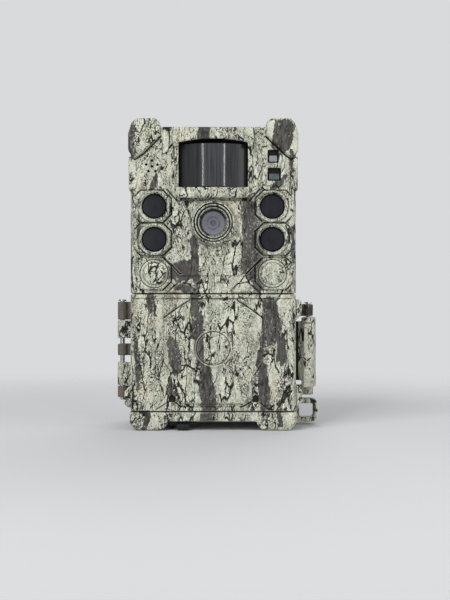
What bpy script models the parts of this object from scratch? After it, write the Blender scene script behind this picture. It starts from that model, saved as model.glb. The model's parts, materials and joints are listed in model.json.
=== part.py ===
"""Trail camera: a strap-on wildlife camera with a fixed optics head, a hinged control door, a draw
latch, a battery tray that drops out of the base, and a tree bracket on the back.

Frame: metres, +Z up, the lens looks along -Y, and "left" is -X. The origin is the centre of the
flat pad on the tree bracket's back. The numbers below are millimetres; MM turns them into metres.
"""

import math

import bmesh
import bpy
from mathutils import Matrix, Vector

MM = 0.001
SIDES = (("left", -1), ("right", 1))   # side, sign of x

# ---------------------------------------------------------------- driving dimensions (mm)
HALF_W = 41.2              # half width of the optics head and of the door
REAR_HALF_W = 42.4         # half width of the rear shell
Y_FACE = -60.0             # main front face
Y_RAISED = Y_FACE + 1.0    # where shapes raised on the front face are rooted
Y_PART = -30.0             # front plane of the rear shell
Y_FRONT_END = Y_PART - 0.3  # back plane of the front shell and of the door
Y_REAR = -8.0              # back face of the rear shell
WALL = 2.4                 # shell thickness
Z_FEET = -80.0             # underside of the two feet
Z_CHIN = -75.6             # underside between the feet
Z_CHIN_TOP = -70.9         # top of the chin, under the door
Z_DOOR_LOW, Z_DOOR_HIGH = -70.3, -12.5
Z_HEAD_LOW, Z_HEAD_HIGH = -11.9, 70.5
Z_EAR = 74.6               # top of the two corner ears
HINGE = (-47.6, -30.0)     # x, y of the door's vertical hinge axis
LATCH = (50.5, -22.0)      # x, y of the latch's vertical pivot
KNUCKLE_R = 2.5            # door hinge
HINGE_BORE_R = 1.4
BARREL_R = 2.6             # latch pivot
LATCH_BORE_R = 1.3
LENS_Z = 22.9
LAMP_X = 29.2              # the infra-red lamps and the blank caps, either side of the lens
LAMPS = (("up", "upper", 31.0), ("low", "lower", 14.7))   # short label, label, z
BLANK_Z = -2.3
LAMP_R = 6.0
MICROPHONE = (-30.4, 50.9)  # x, z
TRAY_X = (-24.4, 21.2)
TRAY_Y = (-44.6, -12.8)
JACK = (-15.0, -51.6)      # x, y of the power jack in the chin
INSERT = (7.0, -51.6)      # x, y of the tripod insert in the chin
CASE_SCREWS = ((-33.4, 62.4), (33.4, 62.4), (-33.4, -4.2), (33.4, -4.2))   # x, z
BRACKET_SCREWS_Z = (20.4, -20.4)

# motion sensor window: straight sides under an arched top
PIR_HALF, PIR_LOW, PIR_SIDE, PIR_TOP = 17.0, 40.4, 62.3, 64.2
PIR_ARCH = [
    (x, PIR_TOP - (PIR_TOP - PIR_SIDE) * (x / PIR_HALF) ** 2)
    for x in (-12.5, -8, -4, 0, 4, 8, 12.5)
]

# ---------------------------------------------------------------- a clean scene
for old in list(bpy.data.objects):
    bpy.data.objects.remove(old)
scene = bpy.context.scene
PARTS = bpy.data.collections.new("trail_camera")
CUTTERS = bpy.data.collections.new("cutters")
scene.collection.children.link(PARTS)
scene.collection.children.link(CUTTERS)


# ---------------------------------------------------------------- materials
def material(name, colour, roughness, metallic=0.0):
    made = bpy.data.materials.new(name)
    made.use_nodes = True
    inputs = made.node_tree.nodes["Principled BSDF"].inputs
    inputs["Base Color"].default_value = (*colour, 1.0)
    inputs["Roughness"].default_value = roughness
    inputs["Metallic"].default_value = metallic
    return made


CAMO = material("bark_camo", colour=(0.46, 0.49, 0.38), roughness=0.62)
# this plastic has no piece of its own
material("grey_brown_plastic", colour=(0.22, 0.19, 0.17), roughness=0.6)
BLACK = material("black_plastic", colour=(0.02, 0.02, 0.022), roughness=0.45)
DARK_FILTER = material("dark_filter", colour=(0.012, 0.013, 0.018), roughness=0.15)
PIR_PLASTIC = material("fresnel_plastic", colour=(0.035, 0.036, 0.04), roughness=0.3)
GLASS = material("lens_glass", colour=(0.16, 0.16, 0.2), roughness=0.05)
CLEAR = material("clear_window", colour=(0.5, 0.52, 0.55), roughness=0.1)
RUBBER = material("black_rubber", colour=(0.018, 0.018, 0.018), roughness=0.8)
STEEL = material("steel", colour=(0.55, 0.55, 0.56), roughness=0.3, metallic=1.0)
BRASS = material("brass", colour=(0.72, 0.53, 0.22), roughness=0.35, metallic=1.0)
BOARD = material("circuit_board", colour=(0.02, 0.16, 0.07), roughness=0.45)
CELL = material("cell_wrap", colour=(0.05, 0.09, 0.14), roughness=0.35)
KEY = material("key_rubber", colour=(0.12, 0.12, 0.125), roughness=0.7)
CARD = material("card_plastic", colour=(0.03, 0.05, 0.16), roughness=0.4)
SEAL = material("seal_rubber", colour=(0.3, 0.3, 0.29), roughness=0.8)
SCREEN = material("screen_glass", colour=(0.015, 0.017, 0.02), roughness=0.08)


# ---------------------------------------------------------------- spans and outlines (mm)
def about(middle, half):
    return (middle - half, middle + half)


def grown(span, margin):
    return (span[0] - margin, span[1] + margin)


def arc(x, y, radius, start, end, steps):
    """Points on an arc, from start to end in degrees."""
    angles = [math.radians(start + (end - start) * i / steps) for i in range(steps + 1)]
    return [(x + radius * math.cos(angle), y + radius * math.sin(angle)) for angle in angles]


def rounded(x, y, radius, steps=3):
    """A rectangle outline with rounded corners; x and y are spans."""
    left, right = x[0] + radius, x[1] - radius
    bottom, top = y[0] + radius, y[1] - radius
    return (
        arc(right, top, radius, 0, 90, steps) + arc(left, top, radius, 90, 180, steps)
        + arc(left, bottom, radius, 180, 270, steps) + arc(right, bottom, radius, 270, 360, steps)
    )


def ring(outer, inner):
    return [outer, list(reversed(inner))]


def octagon(x, y, half_x, half_y, corner):
    left, right = about(x, half_x)
    bottom, top = about(y, half_y)
    return [
        (right, bottom + corner), (right, top - corner), (right - corner, top),
        (left + corner, top), (left, top - corner), (left, bottom + corner),
        (left + corner, bottom), (right - corner, bottom),
    ]


# ---------------------------------------------------------------- choosing edges to round
# Each picker takes an edge's middle and its direction, both in mm.
def front_edges(y):
    """The edges of the face that lies at y."""
    return lambda middle, way: abs(middle.y - y) < 0.2 and abs(way.y) < 0.1


def along(axis, where=lambda middle: True):
    index = "XYZ".index(axis)
    return lambda middle, way: abs(way[index]) > 0.9 * way.length and where(middle)


FRONT_UPRIGHTS = along("Z", lambda middle: middle.y < -50)


def round_edges(shape, origin, width, segments, pick):
    chosen = []
    for edge in shape.edges:
        start, end = [(vert.co + origin) / MM for vert in edge.verts]
        sharp = edge.calc_face_angle(0.0) > 0.15
        if sharp and (pick is None or pick((start + end) / 2, end - start)):
            chosen.append(edge)
    bmesh.ops.bevel(
        shape, geom=chosen, offset=width * MM, offset_type="OFFSET", segments=segments,
        profile=0.5, affect="EDGES", clamp_overlap=True,
    )


def more_rounding(piece, width, segments, pick):
    """A second pass of edge rounding on a piece that is still a plain mesh."""
    shape = bmesh.new()
    shape.from_mesh(piece.data)
    round_edges(shape, piece.location.copy(), width, segments, pick)
    shape.to_mesh(piece.data)
    shape.free()


# ---------------------------------------------------------------- basic solids
def finish(name, shape, location, mat):
    """Turns a bmesh into an object among the parts; location is in metres."""
    mesh = bpy.data.meshes.new(name)
    shape.to_mesh(mesh)
    shape.free()
    piece = bpy.data.objects.new(name, mesh)
    piece.location = location
    PARTS.objects.link(piece)
    if mat is not None:
        mesh.materials.append(mat)
    return piece


def evaluated(source):
    """A clean bmesh of what source evaluates to. Removes source."""
    scene.collection.objects.link(source)
    bpy.context.view_layer.update()
    depsgraph = bpy.context.evaluated_depsgraph_get()
    mesh = bpy.data.meshes.new_from_object(source.evaluated_get(depsgraph))
    bpy.data.objects.remove(source)
    shape = bmesh.new()
    shape.from_mesh(mesh)
    bpy.data.meshes.remove(mesh)
    bmesh.ops.remove_doubles(shape, verts=shape.verts, dist=1e-6)
    bmesh.ops.recalc_face_normals(shape, faces=shape.faces)
    return shape


def box(name, x, y, z, mat=None, bevel=0.0, segments=2, edges=None):
    """A block over the spans x, y and z, with its origin at its centre."""
    shape = bmesh.new()
    bmesh.ops.create_cube(shape, size=1.0)
    size = Vector([high - low for low, high in (x, y, z)]) * MM
    middle = Vector([(low + high) / 2 for low, high in (x, y, z)]) * MM
    bmesh.ops.scale(shape, vec=size, verts=shape.verts)
    if bevel:
        round_edges(shape, middle, bevel, segments, edges)
    return finish(name, shape, middle, mat)


# turns local Z to the axis; for Y it points along -Y
TURN = {
    "X": Matrix.Rotation(math.pi / 2, 4, "Y"),
    "Y": Matrix.Rotation(math.pi / 2, 4, "X"),
    "Z": Matrix.Identity(4),
}


def cylinder(name, at, axis, radius, length, segments, mat=None, end_radius=None, bevel=0.0):
    """A cylinder or cone centred on at. end_radius is at the +axis end (for Y, the -Y end)."""
    shape = bmesh.new()
    bmesh.ops.create_cone(
        shape, cap_ends=True, segments=segments, radius1=radius * MM,
        radius2=(radius if end_radius is None else end_radius) * MM, depth=length * MM,
    )
    if bevel:
        round_edges(shape, Vector((0, 0, 0)), bevel, 1, lambda middle, way: abs(way.z) < 1e-3)
    bmesh.ops.transform(shape, matrix=TURN[axis], verts=shape.verts)
    return finish(name, shape, Vector(at) * MM, mat)


# local X, Y of a flat outline as world directions, for each extrusion axis
PLANE = {
    "X": Matrix(((0, 0, 1, 0), (1, 0, 0, 0), (0, 1, 0, 0), (0, 0, 0, 1))),    # outline in Y, Z
    "Y": Matrix(((1, 0, 0, 0), (0, 0, -1, 0), (0, 1, 0, 0), (0, 0, 0, 1))),   # outline in X, Z
    "Z": Matrix.Identity(4),                                                  # outline in X, Y
}


def prism(name, loops, axis, low, high, mat=None, bevel=0.0, segments=2, edges=None):
    """An outline, with any holes, given a thickness along axis by way of a filled 2D curve."""
    curve = bpy.data.curves.new(name, "CURVE")
    curve.dimensions = "2D"
    curve.fill_mode = "BOTH"
    curve.extrude = (high - low) / 2 * MM
    for points in loops:
        spline = curve.splines.new("POLY")
        spline.points.add(len(points) - 1)
        for point, (x, y) in zip(spline.points, points):
            point.co = (x * MM, y * MM, 0, 1)
        spline.use_cyclic_u = True
    shape = evaluated(bpy.data.objects.new(name + "_outline", curve))
    bpy.data.curves.remove(curve)
    bmesh.ops.dissolve_limit(shape, angle_limit=0.01, verts=shape.verts, edges=shape.edges)
    bmesh.ops.transform(shape, matrix=PLANE[axis], verts=shape.verts)
    bmesh.ops.recalc_face_normals(shape, faces=shape.faces)
    middle = Vector((0, 0, 0))
    middle["XYZ".index(axis)] = (low + high) / 2 * MM
    if bevel:
        round_edges(shape, middle, bevel, segments, edges)
    return finish(name, shape, middle, mat)


def raised(name, outline, front, bevel=0.0, segments=1, back=Y_RAISED, mat=None):
    """An x, z outline from y = back forward to y = front, with its front edges rounded."""
    return prism(name, [outline], "Y", front, back, mat, bevel, segments, front_edges(front))


def turned(name, profile, axis, at, steps, mat=None, closed=False):
    """A (radius, height) profile spun round the axis; closed joins its last point to its first."""
    last = len(profile) - 1
    edges = [(i, i + 1) for i in range(last)] + ([(last, 0)] if closed else [])
    mesh = bpy.data.meshes.new(name)
    mesh.from_pydata([(radius * MM, 0, height * MM) for radius, height in profile], edges, [])
    source = bpy.data.objects.new(name, mesh)
    screw = source.modifiers.new("turn", "SCREW")
    screw.axis = "Z"
    screw.angle = math.tau
    screw.steps = screw.render_steps = steps
    screw.use_merge_vertices = True
    screw.merge_threshold = 0.00001
    shape = evaluated(source)
    bpy.data.meshes.remove(mesh)
    bmesh.ops.transform(shape, matrix=TURN[axis], verts=shape.verts)
    return finish(name, shape, Vector(at) * MM, mat)


def channel(name, start, end, width, floor):
    """A cutter for a straight groove in the front face from start to end (x, z), to y = floor."""
    (x0, z0), (x1, z1) = start, end
    length = math.hypot(x1 - x0, z1 - z0)
    half_x = (x1 - x0) / length * width / 2
    half_z = (z1 - z0) / length * width / 2
    outline = [(x0 - half_z, z0 + half_x), (x0 + half_z, z0 - half_x),
               (x1 + half_z, z1 - half_x), (x1 - half_z, z1 + half_x)]
    return prism(name, [outline], "Y", -66.0, floor)


# ---------------------------------------------------------------- combining and mounting
def boolean(piece, others, operation):
    """Adds a boolean modifier for each other shape, which becomes a hidden helper."""
    for other in others:
        PARTS.objects.unlink(other)
        CUTTERS.objects.link(other)
        other.hide_render = True
        other.display_type = "WIRE"
        modifier = piece.modifiers.new(other.name, "BOOLEAN")
        modifier.operation = operation
        modifier.solver = "EXACT"
        modifier.object = other


def cut(piece, *others):
    boolean(piece, others, "DIFFERENCE")


def join(piece, *others):
    boolean(piece, others, "UNION")


def mount(name, at, *pieces):
    """Parents moving pieces to a new empty on their joint's axis, without moving them."""
    empty = bpy.data.objects.new(name, None)
    empty.location = Vector(at) * MM
    empty.empty_display_size = 0.01
    PARTS.objects.link(empty)
    bpy.context.view_layer.update()
    for piece in pieces:
        piece.parent = empty
        piece.matrix_parent_inverse = empty.matrix_world.inverted()


def join_knuckles(piece, arm, knuckle, axis, radius, arm_x, arm_y, spans):
    """Upright knuckles on a pivot axis (x, y), each with an arm to the piece; spans are in z."""
    for i, (low, high) in enumerate(spans):
        join(piece,
             box(f"{arm}_{i}", arm_x, arm_y, (low, high)),
             cylinder(f"{knuckle}_{i}", (*axis, (low + high) / 2), "Z", radius, high - low, 16))


def pin_bore(name, axis, radius, z=-41.5):
    return cylinder(name, (*axis, z), "Z", radius, 60, 14)


# ================================================================ rear shell
LEFT_FOOT = [(-41.2, -58.2), (-22.8, -58.2), (-22.8, -45.3),   # x, y; wider ahead of the tray
             (-24.9, -45.3), (-24.9, -12.0), (-41.2, -12.0)]
RIGHT_FOOT = [(21.7, -58.2), (41.2, -58.2), (41.2, -12.0), (21.7, -12.0)]
SHELL_KNUCKLES = ((-25.6, -16.2), (-44.3, -38.1), (-66.2, -60.2))   # z spans
LATCH_EARS = ((-23.8, -17.4), (-65.6, -60.2))


def rear_shell():
    """The rear shell's body, with the chin and feet under the door."""
    housing = box("rear_housing", about(0, REAR_HALF_W), (Y_PART, Y_REAR), (Z_CHIN, Z_HEAD_HIGH),
                  CAMO, bevel=5.0, segments=3, edges=along("Z", lambda middle: middle.y > -10))
    more_rounding(housing, 2.0, 2,
                  lambda middle, way: abs(middle.y - Y_REAR) < 0.3 and abs(way.y) < 0.2)
    join(housing, box("chin_block", about(0, HALF_W), (-58.6, -29.0), (Z_CHIN, Z_CHIN_TOP),
                      bevel=3.0, segments=3, edges=FRONT_UPRIGHTS))
    for side, outline in (("left", LEFT_FOOT), ("right", RIGHT_FOOT)):
        join(housing, prism(
            f"foot_{side}", [outline], "Z", Z_FEET, Z_CHIN_TOP - 1.0, bevel=2.4,
            edges=lambda middle, way: middle.z < Z_FEET + 0.5 and abs(way.z) < 0.1))
    bay_y = (-31.5, Y_REAR - WALL)
    cut(housing,
        box("head_bay", about(0, REAR_HALF_W - WALL), bay_y, (-9.7, Z_HEAD_HIGH - WALL)),
        box("battery_bay", about(0, 40.2), bay_y, (Z_CHIN_TOP, -12.1)),
        box("tray_mouth", grown(TRAY_X, 0.3), grown(TRAY_Y, 0.3), (-82, -68)))
    return housing


def rear_fittings(housing):
    """Hinge knuckles, latch ears, screw bosses and the pockets of the rear shell."""
    join_knuckles(housing, "shell_hinge_arm", "shell_knuckle", HINGE, KNUCKLE_R,
                  (HINGE[0], -41.8), (Y_PART + 0.2, Y_PART + 2.5), SHELL_KNUCKLES)
    join_knuckles(housing, "latch_ear_arm", "latch_ear", LATCH, BARREL_R,
                  (41.8, LATCH[0]), (LATCH[1] - 1.6, LATCH[1] + 2.0), LATCH_EARS)
    cut(housing,
        pin_bore("hinge_pin_bore", HINGE, HINGE_BORE_R),
        pin_bore("latch_pin_bore", LATCH, LATCH_BORE_R))
    for i, (x, z) in enumerate(CASE_SCREWS):
        join(housing, cylinder(f"screw_boss_{i}", (x, -20.1, z), "Y", 3.0, 20.2, 12))
    for i, (x, z) in enumerate(CASE_SCREWS):
        cut(housing,
            cylinder(f"screw_hole_{i}", (x, -20, z), "Y", 1.8, 30, 12),
            cylinder(f"screw_seat_{i}", (x, -7.6, z), "Y", 3.2, 3.2, 14))
    cut(housing,
        cylinder("jack_pocket", (*JACK, -75.0), "Z", 4.6, 6.0, 24),
        cylinder("insert_pocket", (*INSERT, -76.2), "Z", 4.6, 8.0, 24))
    for i, z in enumerate(BRACKET_SCREWS_Z):
        cut(housing, cylinder(f"bracket_pilot_{i}", (0, -9, z), "Y", 1.6, 8, 16))


# ================================================================ front shell of the optics head
# the right ear's x, z outline; the left is its mirror image
EAR = [(38.2, Z_EAR), (28.6, Z_EAR), (26.4, 72.6), (26.2, 66.0), (34.7, 57.7), (38.9, 54.9),
       (42.1, 58.7), (42.1, 67.0), (40.4, 72.4)]
BROW_HALF = 19.6
BROW = [(-BROW_HALF, 69.6), (-BROW_HALF, 60.8), (-PIR_HALF, 60.8), (-PIR_HALF, PIR_SIDE),
        *PIR_ARCH,
        (PIR_HALF, PIR_SIDE), (PIR_HALF, 60.8), (BROW_HALF, 60.8), (BROW_HALF, 69.6)]
PIR_WINDOW = [(-PIR_HALF, PIR_LOW), (PIR_HALF, PIR_LOW), (PIR_HALF, PIR_SIDE),
              *reversed(PIR_ARCH), (-PIR_HALF, PIR_SIDE)]
LENS_FIELD = [   # x, z
    (-16.0, 33.6), (16.0, 33.6), (25.6, 24.4), (21.6, 18.6), (21.6, 12.6), (25.4, 5.6),
    (16.4, -3.2), (-16.4, -3.2), (-25.4, 5.6), (-21.6, 12.6), (-21.6, 18.6), (-25.6, 24.4),
]
# x, z of a pad on the lower edge, right side
SEAM_PAD = [(7.6, Z_HEAD_LOW + 0.4), (10.8, -7.2), (15.2, -7.2), (19.0, Z_HEAD_LOW + 0.4)]
# name, start and end (x, z) on the right side, width, floor y
HEAD_GROOVES = (
    ("corner_groove", (18.6, 34.4), (22.9, 39.2), 0.8, -59.3),
    ("lamp_groove", (39.5, 22.9), (33.6, 22.9), 0.7, -60.8),
    ("blank_groove", (37.0, 6.2), (25.0, 6.2), 0.7, -60.8),
)


def front_shell():
    """The solid front shell with everything that stands out from its face."""
    housing = box("front_housing", about(0, HALF_W), (Y_FACE, Y_FRONT_END),
                  (Z_HEAD_LOW, Z_HEAD_HIGH), CAMO, bevel=4.0, segments=3, edges=FRONT_UPRIGHTS)
    more_rounding(housing, 1.0, 2,
                  lambda middle, way: middle.z > 70 and middle.y < -32 and abs(way.z) < 0.2)
    for side, sign in SIDES:
        outline = [(sign * x, z) for x, z in EAR]
        join(housing, raised(f"ear_{side}", outline, -62.4, 1.6, segments=2, back=Y_FRONT_END))
    # frame round the motion sensor's window: brow over it, sill under it, a rail each side
    rail_y, rail_z = (-61.4, Y_RAISED), (39.8, 61.2)
    join(housing,
         raised("pir_brow", BROW, -63.2, 0.8, segments=2),
         box("pir_sill", about(0, 18.4), (-63.8, Y_RAISED), (35.0, PIR_LOW), bevel=1.3,
             edges=lambda middle, way: middle.y < -63.5),
         box("pir_rail_left", (-19.2, -PIR_HALF), rail_y, rail_z),
         box("pir_rail_right", (PIR_HALF, 19.2), rail_y, rail_z))
    boss_heights = [(label, z) for label, _, z in LAMPS] + [("blank", BLANK_Z)]
    for side, sign in SIDES:
        for label, z in boss_heights:
            outline = octagon(sign * 30.4, z, 9.6, 7.9, corner=4.0)
            join(housing, raised(f"boss_{label}_{side}", outline, -61.6, 0.7))
    join(housing,
         raised("lens_field", LENS_FIELD, -60.7),
         cylinder("lens_boss", (0, -61.2, LENS_Z), "Y", 12.4, 4.4, 36, end_radius=10.6))
    for sign in (-1, 1):
        outline = [(sign * x, z) for x, z in SEAM_PAD]
        join(housing, raised(f"seam_pad_{sign}", outline, -61.0, 0.4))
    join(housing, raised("window_frame", rounded((24.4, 35.4), (41.4, 60.6), 1.6), -60.9))
    return housing


def front_openings(housing):
    """Hollows the front shell, adds its screw posts and cuts its windows, bores and grooves."""
    cut(housing, box("head_hollow", about(0, HALF_W - WALL), (Y_FACE + WALL, -29.0),
                     (-9.6, Z_HEAD_HIGH - WALL)))
    for i, (x, z) in enumerate(CASE_SCREWS):
        join(housing, cylinder(f"screw_post_{i}", (x, -44.6, z), "Y", 3.0, 27.6, 12))
    cut(housing,
        prism("pir_window", [PIR_WINDOW], "Y", -66.0, -54.0),
        cylinder("lens_bore", (0, -60.0, LENS_Z), "Y", 9.4, 16.0, 32))
    for side, sign in SIDES:
        x = sign * LAMP_X
        for label, _, z in LAMPS:
            cut(housing,
                cylinder(f"ir_bore_{label}_{side}", (x, -60, z), "Y", LAMP_R + 0.25, 12.0, 24))
        for label, _, z in LAMPS:
            cut(housing, cylinder(f"ir_flare_{label}_{side}", (x, -61.4, z), "Y", LAMP_R, 1.6, 24,
                                  end_radius=LAMP_R + 1.3))
        cut(housing, cylinder(f"blank_seat_{side}", (x, -61.4, BLANK_Z), "Y", 7.15, 2.2, 24))
    cut(housing,
        box("light_window_hole", (26.9, 32.4), (-62, -56), (52.5, 59.0)),
        box("lamp_window_hole", (26.9, 33.5), (-62, -56), (43.6, 50.1)))
    for sign in (-1, 1):
        for name, (x0, z0), (x1, z1), width, floor in HEAD_GROOVES:
            cut(housing,
                channel(f"{name}_{sign}", (sign * x0, z0), (sign * x1, z1), width, floor))
    # five holes round a central one
    holes = arc(*MICROPHONE, 2.9, 90, 450, 5)[:5] + [MICROPHONE]
    for i, (x, z) in enumerate(holes):
        cut(housing, cylinder(f"mic_hole_{i}", (x, -59, z), "Y", 0.5, 8, 6))
    for i, (x, z) in enumerate(CASE_SCREWS):
        cut(housing, cylinder(f"post_hole_{i}", (x, -38, z), "Y", 1.7, 20, 10))


# ================================================================ optics, lamps and electronics
PIR_LENS_FRONT = [   # x, y
    (16.6, -58.7), (11.6, -60.95), (6.4, -62.75), (5.2, -63.05), (0.0, -63.2),
    (-5.2, -63.05), (-6.4, -62.75), (-11.6, -60.95), (-16.6, -58.7),
]
# turned profiles: radius, height toward the front
PIR_SENSOR = [(0, 3.0), (4.0, 3.0), (4.4, 2.6), (4.4, -1.6), (4.9, -1.6), (4.9, -2.2), (0, -2.2)]
LENS_HOOD = [(8.75, 4.3), (9.1, 4.0), (9.1, -1.2), (6.2, -1.2), (6.2, 0.0), (6.9, 0.25),
             (6.9, 1.3), (7.6, 1.55), (7.6, 2.6), (8.3, 2.85), (8.3, 4.3)]
LENS_BARREL = [(0, 7.2), (2.0, 7.0), (3.6, 6.2), (3.6, 7.4), (5.6, 7.4), (5.9, 7.1), (5.9, 3.0),
               (4.9, 3.0), (4.9, -4.6), (0, -4.6)]


def motion_sensor():
    back = [(x * 0.955, y + 1.0) for x, y in reversed(PIR_LENS_FRONT)]
    prism("pir_lens", [PIR_LENS_FRONT + back], "Z", PIR_LOW + 0.4, 61.9, PIR_PLASTIC)
    turned("pir_sensor", PIR_SENSOR, "Y", (0, -41.0, 51.3), 24, STEEL)


def camera_optics():
    turned("lens_hood", LENS_HOOD, "Y", (0, -59.6, LENS_Z), 28, CAMO, closed=True)
    cylinder("lens_window", (0, -57.5, LENS_Z), "Y", 6.9, 1.0, 28, GLASS)
    turned("lens_barrel", LENS_BARREL, "Y", (0, -49.2, LENS_Z), 20, BLACK)
    # the infra-red cut filter: a frame behind the lens and the glass inside it
    frame = box("ir_cut_frame", (-9.0, 17.0), (-44.2, -41.0), about(LENS_Z, 6.5), BLACK,
                bevel=0.6, segments=1)
    cut(frame,
        box("filter_gap", (-7.2, 15.6), (-43.3, -41.9), about(LENS_Z, 5.1)),
        cylinder("filter_port", (0, -42.6, LENS_Z), "Y", 3.8, 8, 24))
    box("ir_cut_filter", about(0, 5.0), (-43.0, -42.2), about(LENS_Z, 4.7), CLEAR)
    board = box("sensor_board", about(0, 13.0), (-37.6, -36.2), about(LENS_Z, 12.0), BOARD)
    join(board, box("sensor_chip", about(0, 6.0), (-39.4, -37.4), about(LENS_Z, 5.0),
                    bevel=0.4, segments=1))


def lamps(side, sign):
    """One side's lamp windows, blank cap and LED board, with three LEDs behind each window."""
    x = sign * LAMP_X
    for _, label, z in LAMPS:
        cylinder(f"ir_window_{label}_{side}", (x, -59.4, z), "Y", LAMP_R - 0.1, 1.8, 24,
                 DARK_FILTER, bevel=0.25)
    cylinder(f"blank_cap_{side}", (x, -61.15, BLANK_Z), "Y", 6.85, 1.5, 24, CAMO, bevel=0.4)
    board = box(f"ir_board_{side}", about(x, 7.6), (-50.6, -49.2), (6.4, 39.6), BOARD)
    for label, _, z in LAMPS:
        for i, (led_x, led_z) in enumerate(arc(x, z, 3.6, 90, 450, 3)[:3]):
            join(board, cylinder(f"led_{side}_{label}_{i}", (led_x, -52.2, led_z), "Y", 1.5, 3.6,
                                 8, end_radius=0.9))


def small_windows_and_microphone():
    for name, x, z in (("light_sensor_window", (27.2, 32.1), (52.8, 58.7)),
                       ("status_lamp_window", (27.2, 33.2), (43.9, 49.8))):
        box(name, x, (-59.4, -58.0), z, CLEAR, bevel=0.3, segments=1)
    cylinder("microphone", (MICROPHONE[0], -55.4, MICROPHONE[1]), "Y", 4.0, 3.4, 24, STEEL,
             bevel=0.5)


def main_board():
    board = box("main_board", about(0, 29.8), (-26.4, -24.8), (-7.0, 65.0), BOARD)
    root = -26.2   # the components sink a little into the board's front
    join(board,
         box("processor", (-9.0, 7.0), (-28.4, root), (18.0, 34.0)),
         box("memory", (12.0, 22.0), (-27.8, root), (22.0, 36.0)),
         box("shield_can", (-26.0, -13.0), (-29.4, root), (40.0, 57.0)),
         box("coil", (14.0, 22.0), (-30.4, root), (4.0, 12.0)),
         cylinder("capacitor", (-18.0, -29.4, 8.0), "Y", 4.0, 6.6, 16),
         box("connector", (-10.0, 8.0), (-30.4, root), (-5.5, -0.5)))


def housing_seal():
    outline = ring(rounded(about(0, 38.4), (-9.2, 67.7), 2.0),
                   rounded(about(0, 37.0), (-7.9, 66.4), 1.4))
    prism("housing_seal", outline, "Y", -32.4, -29.0, SEAL)


# ================================================================ battery box and control panel
KEYS = {   # x, z, radius
    "key_ok": (19.0, -30.5, 3.1), "key_up": (19.0, -22.6, 2.6), "key_down": (19.0, -38.4, 2.6),
    "key_left": (11.1, -30.5, 2.6), "key_right": (26.9, -30.5, 2.6),
}
KEY_Y = -48.9


def chassis():
    body_y = (-46.5, -11.0)
    body = box("chassis", about(0, 35.5), body_y, (-67.6, -15.2), BLACK)
    join(body,
         box("chassis_flange", about(0, 39.9), (-29.9, -28.1), (-70.6, -12.4)),
         box("chassis_foot", (-26.6, 23.4), body_y, (-70.6, -66.0)))
    cut(body,
        box("tray_tunnel", grown(TRAY_X, 0.4), grown(TRAY_Y, 0.3), (-72, -16.8)),
        box("left_pocket", (-34.0, -26.4), (-45.0, -10.0), (-66.0, -16.8)),
        box("right_pocket", (23.2, 34.0), (-45.0, -10.0), (-66.0, -16.8)),
        box("card_way", (27.3, 30.7), (-48, -44), (-66.2, -41.4)))


def control_panel():
    """The panel on the front of the chassis, with its keys and screen."""
    panel = box("control_panel", about(0, 35.2), (-48.8, -46.8), (-67.3, -15.5), BLACK,
                bevel=2.5, segments=3, edges=along("Y"))
    cut(panel,
        box("screen_hole", (-30.3, 5.3), (-50, -45), (-46.3, -19.2)),
        box("card_slot", (27.4, 30.6), (-50, -45), (-66.1, -41.5)),
        prism("switch_slot", [rounded((-29.0, -13.0), (-59.6, -54.4), 1.2)], "Y", -50, -45))
    plinth = rounded((6.9, 31.1), (-42.6, -18.4), 5.0)
    join(panel, prism("key_plinth", [plinth], "Y", -49.4, -48.0))
    for name, (x, z, radius) in KEYS.items():
        cut(panel, cylinder(f"{name}_hole", (x, -48, z), "Y", radius + 0.35, 6, 16))
        key = cylinder(name, (x, KEY_Y, z), "Y", radius, 3.0, 16, KEY, bevel=0.5)
        mount(f"{name}_travel", (x, KEY_Y, z), key)
    box("display_screen", (-30.0, 5.0), (-48.4, -47.0), (-46.0, -19.5), SCREEN, bevel=0.3,
        segments=1)


def mode_switch():
    switch = raised("mode_switch", rounded((-28.4, -23.6), (-59.2, -54.8), 0.9), -50.8, 0.4,
                    back=-47.1, mat=BLACK)
    mount("mode_switch_travel", (-26, -49, -57), switch)
    join(switch, box("switch_rib", (-26.4, -25.6), (-51.4, -50.5), (-58.4, -55.6)))


def card_and_socket():
    socket = box("sd_socket", (25.6, 32.4), (-44.4, -20.0), (-65.6, -42.0), STEEL)
    cut(socket, box("card_cavity", (27.5, 30.5), (-46, -21.5), (-65.2, -42.4)))
    card = box("sd_card", (27.95, 30.05), (-50.6, -23.4), (-65.0, -42.6), CARD, bevel=0.25,
               segments=1)
    corner = [(-22.0, -66.5), (-28.2, -66.5), (-22.0, -60.4)]
    cut(card, prism("card_corner", [corner], "X", 26.0, 32.0))
    mount("sd_card_travel", (29, -37, -53.8), card)


def door_seal():
    outline = ring(rounded(about(0, 34.9), (-67.0, -15.8), 2.6),
                   rounded(about(0, 33.3), (-65.4, -17.4), 1.6))
    prism("door_seal", outline, "Y", -50.3, -49.1, SEAL)


# ================================================================ battery tray and its cells
CELLS_X, CELLS_Y = (-16.1, -1.6, 12.9), (-36.0, -21.4)
CELL_R, CELL_LENGTH = 7.0, 49.6
CELL_END = CELL_LENGTH / 2
CELL_PROFILE = [   # radius, height; the button is at the top
    (0, CELL_END), (2.7, CELL_END), (2.7, CELL_END - 1.3), (6.5, CELL_END - 1.3),
    (CELL_R, CELL_END - 1.8), (CELL_R, -CELL_END), (0, -CELL_END),
]
CONTACT_X, CONTACT_Y = grown(TRAY_X, -1.6), (-43.2, -14.2)


def tray_body():
    tray = box("battery_tray", TRAY_X, TRAY_Y, (-75.4, -17.4), BLACK)
    notch = rounded((-8.6, 5.4), (-50.0, -41.6), 2.5)
    cut(tray,
        box("cell_space", grown(TRAY_X, -0.95), (-46, -11), (-73.2, -19.2)),
        box("side_window", (-30, 26), (-40.6, -16.8), (-62.0, -30.0)),
        prism("finger_notch", [notch], "Z", -77, -74.3))
    return tray


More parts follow.
